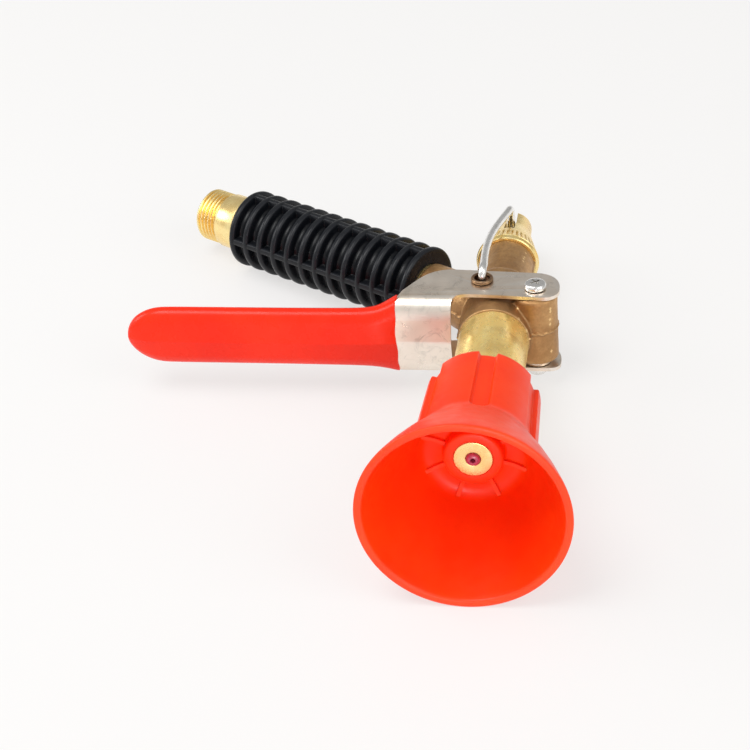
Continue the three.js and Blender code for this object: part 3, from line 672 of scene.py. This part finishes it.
def casting():
    """The as-cast body: barrel, branch and boss melted together, with its parting line and bores."""
    barrel = lathe([
        (0, BARREL_REAR), (10.5, BARREL_REAR), (10.5, -14.5), (12.1, -12), (BARREL_R, -9),
        (BARREL_R, BARREL_FRONT), (0, BARREL_FRONT),
    ], around_x, closed=False)
    branch = lathe([
        (0, 0), (BARREL_R, 0), (12.6, 10), (11.2, 17), (9.9, 21.5), (BRANCH_R, 24), (BRANCH_R, BRANCH_END),
        (0, BRANCH_END),
    ], around_z, closed=False)
    boss = lathe([
        (0, BOSS_LOW), (BOSS_R, BOSS_LOW), (BOSS_R, BOSS_HIGH - 0.9), (BOSS_R - 0.4, BOSS_HIGH - 0.3),
        (BOSS_R - 1, BOSS_HIGH), (0, BOSS_HIGH),
    ], around_z, centre=PIVOT, closed=False)
    bridge = box((PIVOT.x - 7.4, 5, -11), (PIVOT.x + 4, PIVOT.y, 12))
    lump = together(barrel, moved(branch, GRIP_IN_GUN), boss, bridge)
    lump = worked(
        lump,
        ("REMESH", {"mode": "VOXEL", "voxel_size": 0.4 * MM}),
        ("SMOOTH", {"factor": 0.5, "iterations": 7}),
    )
    add_parting_line(lump)
    tube_seat = plug(10.3, 12, 24)
    valve_chamber = plug(8, -22, 13)
    gland_bore = plug(9.3, -38, -21)
    screw_hole = plug(SCREW_HOLE_R, -15, 16, around_z, centre=PIVOT, segments=48)
    pipe_seat = moved(plug(8.3, 10, 34, around_z), GRIP_IN_GUN)
    for tool in (tube_seat, valve_chamber, gland_bore, screw_hole, pipe_seat):
        lump = carved(lump, tool)
    return lump


def add_parting_line(mesh):
    """Pushes out the thin flash that a two-part mould leaves half way up, and roughens the skin."""
    normals = [vertex.normal.copy() for vertex in mesh.vertices]
    for vertex, normal in zip(mesh.vertices, normals):
        x, y, z = vertex.co / MM
        waviness = 0.5 * noise.noise(Vector((x * 0.6, y * 0.6, 3.0)))
        height = z - PARTING_HEIGHT - waviness
        ridge = PARTING_RELIEF * math.exp(-((height / 0.4) ** 2))
        roughness = 0.06 * noise.noise(Vector((x, y, z)) * 0.5)
        vertex.co += normal * (ridge + roughness) * MM


def front_tube():
    """The bright tube between the casting and the nozzle, with a worn step at its rear end."""
    profile = rounded([
        (8.3, 12.4), (10, 12.4), (10, 22.5), (TUBE_R, 22.5), (TUBE_R, 68), (12.4, 68.5),
        (12.4, 85), (11.4, 86), (9, 86), (9, 80), (TUBE_BORE_R, 80), (TUBE_BORE_R, 17.5), (8.3, 17.5),
    ], 0.35)
    return lathe(profile, around_x, 112)


def cap():
    """The rear cap: knurled along its cone, slotted across its end for the bail."""

    def knurled(r, h, angle):
        if r < 9.8 or not KNURL_START < h < KNURL_END:
            return r
        fade = min(1, (h - KNURL_START) / 0.8, (KNURL_END - h) / 0.5)
        return r - KNURL_DEPTH * fade * max(0, math.cos(KNURL_COUNT * angle)) ** 1.2

    outer = [(9.8, -48), (10.02, -47)]
    outer += [(10.2 + 0.085 * k, -46.2 + 0.35 * k) for k in range(24)]
    outer += [(11.95, -38.0), (11.75, -37.2)]
    profile = [(CHAMBER_R, CAP_REAR), (6.7, CAP_REAR), (7.15, CAP_REAR + 0.3), (7.3, CAP_REAR + 1)]
    profile += [(7.35, -58), (8.3, -54.3), *outer, (11.6, -36.6), (11.2, -36.3), (9.6, -36.3), (9.6, -44)]
    profile += [(2.8, -44), (2.8, -47.3), (CHAMBER_R, -47.3)]
    turned = lathe(profile, around_x, 264, knurled)
    slot = box((CAP_REAR - 1, -2, -13), (-48, 2, 13))
    return carved(turned, slot)


def inlet():
    """The inlet pipe with its collar and its helical G 1/2 thread, along the grip."""

    def threaded(r, h, angle):
        if r < THREAD_ROOT_R - 0.01 or h < THREAD_START - 0.3:
            return r
        turn = (h - THREAD_START) / THREAD_PITCH - angle / (2 * math.pi)
        phase = abs(turn % 1 - 0.5) * 2
        crest = clamp((FLANK_FOOT - phase) / FLANK_WIDTH)
        run_in = clamp((h - THREAD_START) / THREAD_RUN_OUT)
        run_out = clamp((THREAD_END + 0.1 - h) / THREAD_RUN_OUT)
        return THREAD_ROOT_R + THREAD_DEPTH * crest * run_in * run_out

    pipe = [(5.5, 20.3), (8, 20.3), (8, 33), (9, 33), (9, 124.4)]
    collar = [(10.5, 124.4), (10.85, 124.6), (11, 125), (11, 135.3), (10.85, 135.8), (10.4, 136)]
    groove = [(9.5, 136), (THREAD_ROOT_R, 136.2), (THREAD_ROOT_R, THREAD_START - 0.4)]
    thread = [(THREAD_ROOT_R, THREAD_START - 0.2 + 0.12 * k) for k in range(77)]
    mouth = [(9.3, THREAD_END + 0.2), (9.0, THREAD_END + 0.4), (7.5, THREAD_END + 0.4), (5.5, THREAD_END - 4)]
    profile = pipe + collar + groove + thread + mouth
    return lathe(profile, around_z, 144, threaded)


def sleeve():
    """The moulded grip: thirteen rings and four ribs on a thin core."""
    end = SLEEVE_START + RING_WIDTH + (RING_COUNT - 1) * RING_PITCH

    def ribbed(r, h, angle):
        if r < SLEEVE_CORE_R - 0.5 or not SLEEVE_START + 0.8 < h < end - 0.8:
            return r
        away = (angle - RIB_TURN + math.pi / 4) % (math.pi / 2) - math.pi / 4
        across = abs(away) * RIB_MID_R
        if across > RIB_HALF_WIDTH + RIB_FILLET:
            return r
        crown = RIB_R - 0.35 * (across / RIB_HALF_WIDTH) ** 3
        blend = clamp((RIB_HALF_WIDTH + RIB_FILLET - across) / 0.5)
        return max(r, SLEEVE_CORE_R + (crown - SLEEVE_CORE_R) * blend)

    profile = [(SLEEVE_BORE_R, SLEEVE_START)]
    for ring in range(RING_COUNT):
        start = SLEEVE_START + ring * RING_PITCH
        stop = start + RING_WIDTH
        if ring:
            profile += [(r, start - away) for r, away in VALLEY]
        profile += [(r, start + away) for r, away in RING_EDGE]
        profile += [(r, stop - away) for r, away in reversed(RING_EDGE)]
        if ring < RING_COUNT - 1:
            profile += [(r, stop + away) for r, away in reversed(VALLEY)]
    profile.append((SLEEVE_BORE_R, end))
    return lathe(profile, around_z, 288, ribbed)


def screw():
    """A pan-head screw with a cross recess, worn bright."""
    under = LEVER_HALF_HEIGHT + 0.3
    head = rounded([
        (0, -18.4), (SCREW_R, -18.4), (SCREW_R, under), (SCREW_HEAD_R, under), (SCREW_HEAD_R, under + 1.2),
        (3.6, under + 2.1), (2.2, under + 2.45), (0, under + 2.5),
    ], 0.35, closed=False)
    shape = lathe(head, around_z, 72, centre=PIVOT, closed=False)
    for turn in (38, 128):
        low = (-CROSS_HALF_LENGTH, -CROSS_HALF_WIDTH, under + 1.3)
        high = (CROSS_HALF_LENGTH, CROSS_HALF_WIDTH, under + 4)
        arm = box(low, high, Matrix.Rotation(math.radians(turn), 3, "Z"))
        shape = carved(shape, moved(arm, Matrix.Translation(PIVOT)))
    return shape


def nut():
    """A domed hexagon nut below the lever."""
    seat = -LEVER_HALF_HEIGHT - 0.3

    def hexagonal(r, h, angle):
        if r < 3 or h < seat - 2.2:
            return r
        away = angle % (math.pi / 3) - math.pi / 6
        return min(r, NUT_INRADIUS / math.cos(away))

    profile = [(SCREW_HOLE_R, seat), (4.2, seat), (4.2, seat - 1.8), (3.5, seat - 2.3), (3.2, seat - 3)]
    profile += [(2.2, seat - 3.6), (0, seat - 3.7), (0, seat - 2.6), (SCREW_HOLE_R, seat - 2.6)]
    return lathe(profile, around_z, 96, hexagonal, centre=PIVOT)


def washer():
    """The washer between the boss and the lever's lower flange."""
    low = -LEVER_HALF_HEIGHT + LEVER_THICKNESS + 0.3
    high = BOSS_LOW - 0.3
    profile = rounded([(SCREW_HOLE_R, low), (5.4, low), (5.4, high), (SCREW_HOLE_R, high)], 0.15)
    return lathe(profile, around_z, 64, centre=PIVOT)


# ---------------------------------------------------------------- lever


def nose_curve(steps=6):
    """The nose outline as a smooth curve through NOSE."""
    points = [Vector(p) for p in NOSE]
    points = [points[0] * 2 - points[1], *points, points[-1] * 2 - points[-2]]
    curve = []
    for a, b, c, d in zip(points, points[1:], points[2:], points[3:]):
        for k in range(steps):
            t = k / steps
            linear = b * 2 + (c - a) * t
            square = (a * 2 - b * 5 + c * 4 - d) * t**2
            cube = (b * 3 - a - c * 3 + d) * t**3
            curve.append(0.5 * (linear + square + cube))
    curve.append(points[-2])
    return curve


NOSE_CURVE = nose_curve()


def nose_x(height):
    """How far forward of the pivot the channel's outer skin is, at a height above the ridge."""
    fraction = min(abs(height) / LEVER_HALF_HEIGHT, 1)
    for before, after in zip(NOSE_CURVE, NOSE_CURVE[1:]):
        if after.y <= fraction:
            t = (before.y - fraction) / max(before.y - after.y, 1e-9)
            return NOSE_START + NOSE_DEPTH * (before.x + (after.x - before.x) * t)
    return NOSE_START + NOSE_DEPTH


def channel_outline(depth, half):
    upper = [(NOSE_START + p.x * depth, p.y * half) for p in NOSE_CURVE]
    return upper + [(x, -z) for x, z in reversed(upper[:-1])]


def lever_sheet():
    """The stamped lever: a bent sheet, trimmed by its side outline and by its front outline."""
    t = LEVER_THICKNESS
    rear = NOSE_START - 40
    outer = channel_outline(NOSE_DEPTH, LEVER_HALF_HEIGHT)
    inner = channel_outline(NOSE_DEPTH - t, LEVER_HALF_HEIGHT - t)
    section = [(rear, LEVER_HALF_HEIGHT), *outer, (rear, -LEVER_HALF_HEIGHT), (rear, t - LEVER_HALF_HEIGHT)]
    section += [*reversed(inner), (rear, LEVER_HALF_HEIGHT - t)]
    sheet = prism(section, -147, 12, lambda u, v, w: (u, w, v))
    side = trace(
        (-11.3, 0.5), ((-10.6, 6), (-6, 8.9), (0, 8.9)), (1.2, 8.9), ((4.6, 8.9), (6.5, 6.6), (6.4, 3)),
        ((6.2, -4), (5.3, -12), (4.9, -23)), ((4.7, -27.8), (6, -30.3), (10, -30.3)), (20, -30.3), (20, -146),
        (9, -146), (9, -60), ((9, -52), (4, -49.5), (-1.5, -46.4)), ((-7, -43.4), (-13.2, -40), (-13.6, -32)),
    )
    front = trace(
        (12, -17), (12, 17), (-46, 17), ((-50, 17), (-52, 10.6), (-62, 9.8)), (-138, 9.3),
        ((-144, 9.3), (-146, 6), (-146, 0)), ((-146, -6), (-144, -9.3), (-138, -9.3)), (-62, -9.8),
        ((-52, -10.6), (-50, -17), (-46, -17)),
    )
    sheet = carved(sheet, prism(side, -20, 20, lambda u, v, w: (u, v, w)), "INTERSECT")
    sheet = carved(sheet, prism(front, -20, 30, lambda u, v, w: (w, u, v)), "INTERSECT")
    for centre, radius in ((Vector(), SCREW_HOLE_R), (EYELET - PIVOT, 3.9)):
        sheet = carved(sheet, plug(radius, -20, 20, around_z, segments=64, centre=centre))
    return moved(sheet, Matrix.Translation(PIVOT))


def coat_ring(y, half, shoulder, back, grow, turn_over):
    """One section of the dipped coat, at a distance along the lever.

    half is its half height, shoulder the half height of its back, which lies at x = back, grow its
    thickness over the sheet, and turn_over how far its edges roll inwards.
    """
    side = [(nose_x(max(k * half - grow * k, 0)) + grow, k * half) for k in (0, 0.12, 0.3, 0.5, 0.66)]
    edge = nose_x(0.72 * half) + grow - 0.3 * turn_over
    side += [(edge - 0.2, half * 0.81), (edge - turn_over * 0.5 - 0.7, half * 0.93)]
    side += [(edge - turn_over - 1.9, half * 0.99), (edge - turn_over - 3.6, half * 0.985)]
    side += [(back + 2.2, shoulder), (back + 0.5, shoulder * 0.6), (back + 0.1, shoulder * 0.3)]
    ring = [Vector((x, y, z)) for x, z in side]
    ring.append(Vector((back, y, 0)))
    return ring + [Vector((p.x, p.y, -p.z)) for p in reversed(ring[1:-1])]


# sections of the coat and of the pocket in it: distance along the lever, half, shoulder and back
COAT = (
    (COAT_START, 14.9, 14.7, -0.6), (-50.9, 15.3, 15.0, -0.6), (-52.6, 14.6, 14.4, 0.9),
    (-55.4, 13.4, 12.7, 2.1), (-59, 12.5, 10.6, 3.0), (-64, 12.05, 9.6, 3.2),
    (-76, 11.95, 9.4, 3.2), (-90, 11.8, 9.3, 3.2), (-105, 11.8, 9.2, 3.3),
    (-120, 11.8, 9.1, 3.4), (-130, 11.8, 9.0, 3.5), (-137, 11.75, 8.9, 3.6),
)
POCKET = (
    (-48, 15, 15, -3), (-52.5, 13.4, 13.3, -1), (-57, 10.8, 9.6, 1.5),
    (-63, 8.6, 6.5, 3.5), (-69, 6.5, 4.5, 6.5),
)


def coat():
    """The dipped vinyl coat: thick, glossy, creased along the ridge, wavy where the dip ended."""
    rings = []
    for y, half, shoulder, back in COAT:
        grow = min(COAT_THICKNESS, 0.5 - (y - COAT_START) * 0.12)
        rings.append(coat_ring(y, half, shoulder, back, grow, 1))
    last_y, half, shoulder, back = COAT[-1]
    centre_x = NOSE_START + NOSE_DEPTH / 2
    for reach in (0.25, 0.5, 0.7, 0.85, 0.95, 1.0):
        shrink = math.sqrt(1.03 - reach * reach)
        ring = coat_ring(last_y - COAT_TIP * reach, half, shoulder, back, COAT_THICKNESS, 1)
        thin = 0.35 + 0.65 * shrink
        rings.append([Vector((centre_x + (p.x - centre_x) * thin, p.y, p.z * shrink)) for p in ring])
    for index, reach in ((0, 1.0), (1, 1.0), (2, 0.5)):
        for p in rings[index]:
            p.y += reach * COAT_WAVE * noise.noise(Vector((p.x * 0.18, 4.0, p.z * 0.18)))
    mesh = skin(rings)
    shape = bmesh.new()
    shape.from_mesh(mesh)
    crease = shape.edges.layers.float.new("crease_edge")
    for edge in shape.edges:
        if all(abs(v.co.z) < 1e-5 and v.co.x > 0.012 and v.co.y > -0.15 for v in edge.verts):
            edge[crease] = 0.85
    shape.to_mesh(mesh)
    shape.free()
    mesh = worked(mesh, ("SUBSURF", {"levels": 3, "render_levels": 3}))
    pocket = skin([coat_ring(y, h, shoulder, back, -0.6, 0) for y, h, shoulder, back in POCKET])
    return moved(carved(mesh, pocket), Matrix.Translation(PIVOT))


def eyelet(side):
    """A flared eyelet that guides the bail through the flange."""
    low, seat, top = (side * h for h in (13.9, 16.3, 17.7))
    lip = side * 0.35
    profile = rounded([
        (2.8, low), (3.6, low), (3.6, seat), (4.15, seat), (4.15, top - lip), (3.6, top),
        (3.0, top - lip * 0.6), (2.8, top - 2 * lip),
    ], 0.3)
    return lathe(profile, around_z, 72, centre=EYELET)


# ---------------------------------------------------------------- bail


def leg(start, end):
    """Points along one of the bail's long legs, which bows away from the lever."""
    points = []
    for k in range(1, 24):
        bow = Vector((0, -BAIL_BOW * math.sin(math.pi * k / 24), 0))
        points.append(start.lerp(end, k / 24) + bow)
    return points


def bail():
    """The bent wire that ties the lever to the stem."""
    corners = [
        Vector((EYELET.x, EYELET.y, BAIL_END)), Vector((EYELET.x, EYELET.y, BAIL_TOP)),
        Vector((BAIL_REAR, 0, BAIL_HALF_WIDTH)), Vector((BAIL_REAR, 0, -BAIL_HALF_WIDTH)),
        Vector((EYELET.x, EYELET.y, -BAIL_TOP)), Vector((EYELET.x, EYELET.y, -BAIL_END)),
    ]
    path = [corners[0]]
    for before, corner, after in zip(corners, corners[1:], corners[2:]):
        a = corner + (before - corner).normalized() * BAIL_BEND
        b = corner + (after - corner).normalized() * BAIL_BEND
        if corner.x > before.x:
            path += leg(path[-1], a)
        path += [bend(a, corner, b, k / 12) for k in range(13)]
        if after.x < corner.x:
            path += leg(b, after + (corner - after).normalized() * BAIL_BEND)
    path.append(corners[-1])
    return sweep(path, BAIL_R, 28)


# ---------------------------------------------------------------- nozzle and hood


def nozzle():
    """The turned brass nozzle inside the hood, with a seat for the jet in its front."""
    profile = rounded([
        (13.35, 62.6), (15.8, 62.6), (15.8, 92.9), (6.7, 92.9), (6.7, 100), (2.6, 100), (2.6, 95.6),
        (1.6, 95.6), (1.6, 93), (6.5, 89.5), (12.75, 89.5), (12.75, 70), (13.35, 70),
    ], 0.25)
    return lathe(profile, around_x, 112)


def insert():
    """The domed ceramic jet with its orifice."""
    profile = [(0.8, 95.9), (2.5, 95.9), (2.5, 100)]
    dome = [math.pi * k / 20 for k in range(1, 10)]
    profile += [(0.9 + 1.6 * math.cos(a), 100 + 1.2 * math.sin(a)) for a in dome]
    profile += [(1.05, 101.15), (0.88, 101.0), (0.8, 100.7)]
    return lathe(profile, around_x, 80)


def recess(h, angle):
    """How deep the hub is recessed at a place: six long recesses between its lobes."""
    step = 2 * math.pi / HUB_LOBES
    away = abs((angle - RECESS_ANGLE + step / 2) % step - step / 2)
    side = clamp((RECESS_HALF_ANGLE + 0.012 - away) / 0.03)
    end = 101.5 - 4.2 * (away / RECESS_HALF_ANGLE) ** 2
    length = clamp((end - h) / 1.3)
    return RECESS_DEPTH * ease(side) * ease(length)


def hood():
    """The bell: a lobed hub that flares to a wide rim, with a webbed floor round the nozzle."""
    outer = [(16.6, HUB_START), (19.4, HUB_START), (19.9, HUB_START + 0.25), (20.15, HUB_START + 0.8)]
    outer += [(20.2 + 1.1 * (h - 63.2) / 30.8, h) for h in (63.2, 66, 70, 75, 80, 84, 88, 92, 95.5)]
    outer += [(21.35 + 0.016 * k * k, 96 + 0.55 * k) for k in range(1, 8)]
    outer += [(22.5, 100.7), (22.9, 101.6), (23.35, 102.6), (23.9, 103.8), (24.6, 105.3), (25.5, 107.3)]
    outer += [(28.8, 114.4), (32.4, 123.2), (35.2, 131), (35.75, 132.8), (36, 133.9)]
    rim = [(35.95, 134.4), (35.6, 134.65), (33.9, 134.65), (33.5, 134.45), (33.2, 133.8)]
    inner = [(32.6, 132), (29.9, 124.5), (26.3, 115), (22.8, 106), (21, 101.6), (19.9, 99), (19.2, 97.5)]
    inner += [(18.2, 96.1), (16.8, 95.2), (15, 94.9), (11.2, 94.9), (10.6, 95.1), (10.35, 95.7)]
    inner += [(10.3, 98.9), (10.1, 99.6), (9.5, 99.95), (7.4, 100), (6.95, 99.95), (6.8, 99.7)]
    inner += [(6.8, 93.2), (16.1, 93.2), (16.1, HUB_START + 0.4)]

    def lobed(r, h, angle):
        if r < 19.3 or h > 103 or (r, h) in inner:
            return r
        return r - recess(h, angle)

    shell = lathe([*outer, *rim, *inner], around_x, 360, lobed)
    outline = rounded([(94, 9.9), (96.3, 9.9), (96.0, 14), (97, 20.4), (94, 20.4)], 0.5)
    webs = []
    for k in range(WEB_COUNT):
        turn = Matrix.Rotation(-WEB_ANGLE - 2 * math.pi * k / WEB_COUNT, 3, "X")
        blade = prism(outline, -WEB_HALF_WIDTH, WEB_HALF_WIDTH, lambda u, v, w: turn @ Vector((u, w, v)))
        webs.append(blade)
    return together(shell, *webs)


# ---------------------------------------------------------------- the pieces

piece("casting", casting(), "cast_brass", "gun_body", "body_casting", sharp=50)
piece("front_tube", front_tube(), "bright_brass", "gun_body", "front_barrel")
piece("cap", cap(), "turned_brass", "gun_body", "rear_cap", bevel=0.15)
piece("inlet", inlet(), "turned_brass_grip", "gun_body", "inlet_pipe", GRIP, sharp=60)
piece("sleeve", sleeve(), "black_plastic", "gun_body", "grip_sleeve", GRIP, sharp=60)
piece("screw", screw(), "bright_steel", "gun_body", "pivot_screw", bevel=0.1)
piece("nut", nut(), "bright_steel", "gun_body", "pivot_nut", bevel=0.1)
piece("washer", washer(), "stainless_sheet", "gun_body", "pivot_washer")
piece("lever_sheet", lever_sheet(), "stainless_sheet", "lever", "lever_plate", bevel=0.22)
piece("coat", coat(), "red_vinyl", "lever", "lever_coat", sharp=60)
piece("upper_eyelet", eyelet(1), "bronze", "lever", "eyelet_upper")
piece("lower_eyelet", eyelet(-1), "bronze", "lever", "eyelet_lower")
piece("bail_wire", bail(), "bright_steel", "bail", "wire_bail")
piece("nozzle_body", nozzle(), "turned_brass", "nozzle", "nozzle_cap")
piece("orifice", insert(), "pink_ceramic", "nozzle", "ceramic_insert")
piece("hood", hood(), "red_plastic", "nozzle", "bell_hood", sharp=50)

# the pieces inside the body keep their CAD shapes
slot_of = {part["node"]: part["material_slot"] for part in frame["record"]["subparts"]}
for node, obj in frame["nodes"].items():
    if node not in replaced:
        for material_slot in obj.material_slots:
            material_slot.material = LOOKS[slot_of[node]]

# ---------------------------------------------------------------- floor, light and camera


FLOOR_HALF_SIDE = 6
LIGHT_TARGET = (0, 0, 0.02)


def floor_look():
    """A pale floor: it glows, so that it stays near white and still takes soft shadows."""
    look = Look(
        "floor",
        Specular_IOR_Level=0.2,
        Emission_Color=(1.0, 0.99, 0.98, 1),
        Emission_Strength=0.655,
    )
    look.colour(look.mix(look.noise(3, 2), (0.235, 0.233, 0.231), (0.245, 0.243, 0.241)))
    look.roughness(look.remap(look.noise(8, 2), 0.3, 0.7, 0.6, 0.7))
    return look.material


def floor():
    mesh = bpy.data.meshes.new("floor")
    side = FLOOR_HALF_SIDE
    corners = [(-side, -side, 0), (side, -side, 0), (side, side, 0), (-side, side, 0)]
    mesh.from_pydata(corners, [], [(0, 1, 2, 3)])
    mesh.materials.append(floor_look())
    link(bpy.data.objects.new("floor", mesh))


def area_light(name, place, size, power, target=LIGHT_TARGET):
    """A round soft light; places in metres, power in watts."""
    data = bpy.data.lights.new(name, "AREA")
    data.shape = "DISK"
    data.size = size
    data.energy = power
    obj = link(bpy.data.objects.new(name, data))
    obj.location = place
    obj.rotation_euler = (Vector(target) - Vector(place)).to_track_quat("-Z", "Y").to_euler()


def surroundings(overhead, behind, before):
    """A plain studio: dimmer behind the object than on the near side and overhead."""
    world = bpy.data.worlds.new("surroundings")
    world.use_nodes = True
    tree = world.node_tree
    nodes = tree.nodes
    links = tree.links
    direction = nodes.new("ShaderNodeTexCoord")
    split = nodes.new("ShaderNodeSeparateXYZ")
    links.new(direction.outputs["Generated"], split.inputs["Vector"])
    depth = map_range(tree, split.outputs["Y"], -0.6, 0.6, before, behind)
    height = map_range(tree, split.outputs["Z"], 0.75, 1, 1, overhead)
    product = nodes.new("ShaderNodeMath")
    product.operation = "MULTIPLY"
    links.new(depth, product.inputs[0])
    links.new(height, product.inputs[1])
    links.new(product.outputs["Value"], nodes["Background"].inputs["Strength"])
    nodes["Background"].inputs["Color"].default_value = (1, 0.998, 0.992, 1)
    bpy.context.scene.world = world


def camera():
    data = bpy.data.cameras.new("camera")
    data.sensor_width = 36
    data.lens = CAMERA_LENS
    data.clip_start = 0.01
    data.clip_end = 50
    obj = link(bpy.data.objects.new("camera", data))
    turn = Euler([math.radians(angle) for angle in CAMERA_TURN])
    place = Matrix.Translation(Vector(CAMERA_PLACE) * MM)
    obj.matrix_world = GUN @ place @ turn.to_matrix().to_4x4()
    bpy.context.scene.camera = obj


floor()
surroundings(overhead=1.1, behind=0.4, before=0.65)
area_light("key", (-0.35, -0.2, 1.1), 0.7, 6.8)
area_light("side", (-0.95, 0.1, 0.5), 0.5, 3)
area_light("fill", (0.8, -0.4, 0.7), 0.8, 3)
area_light("front", (0.15, -0.9, 0.16), 0.35, 2.2, target=(0.05, -0.08, 0.03))
camera()
bpy.context.scene.view_settings.view_transform = "Standard"
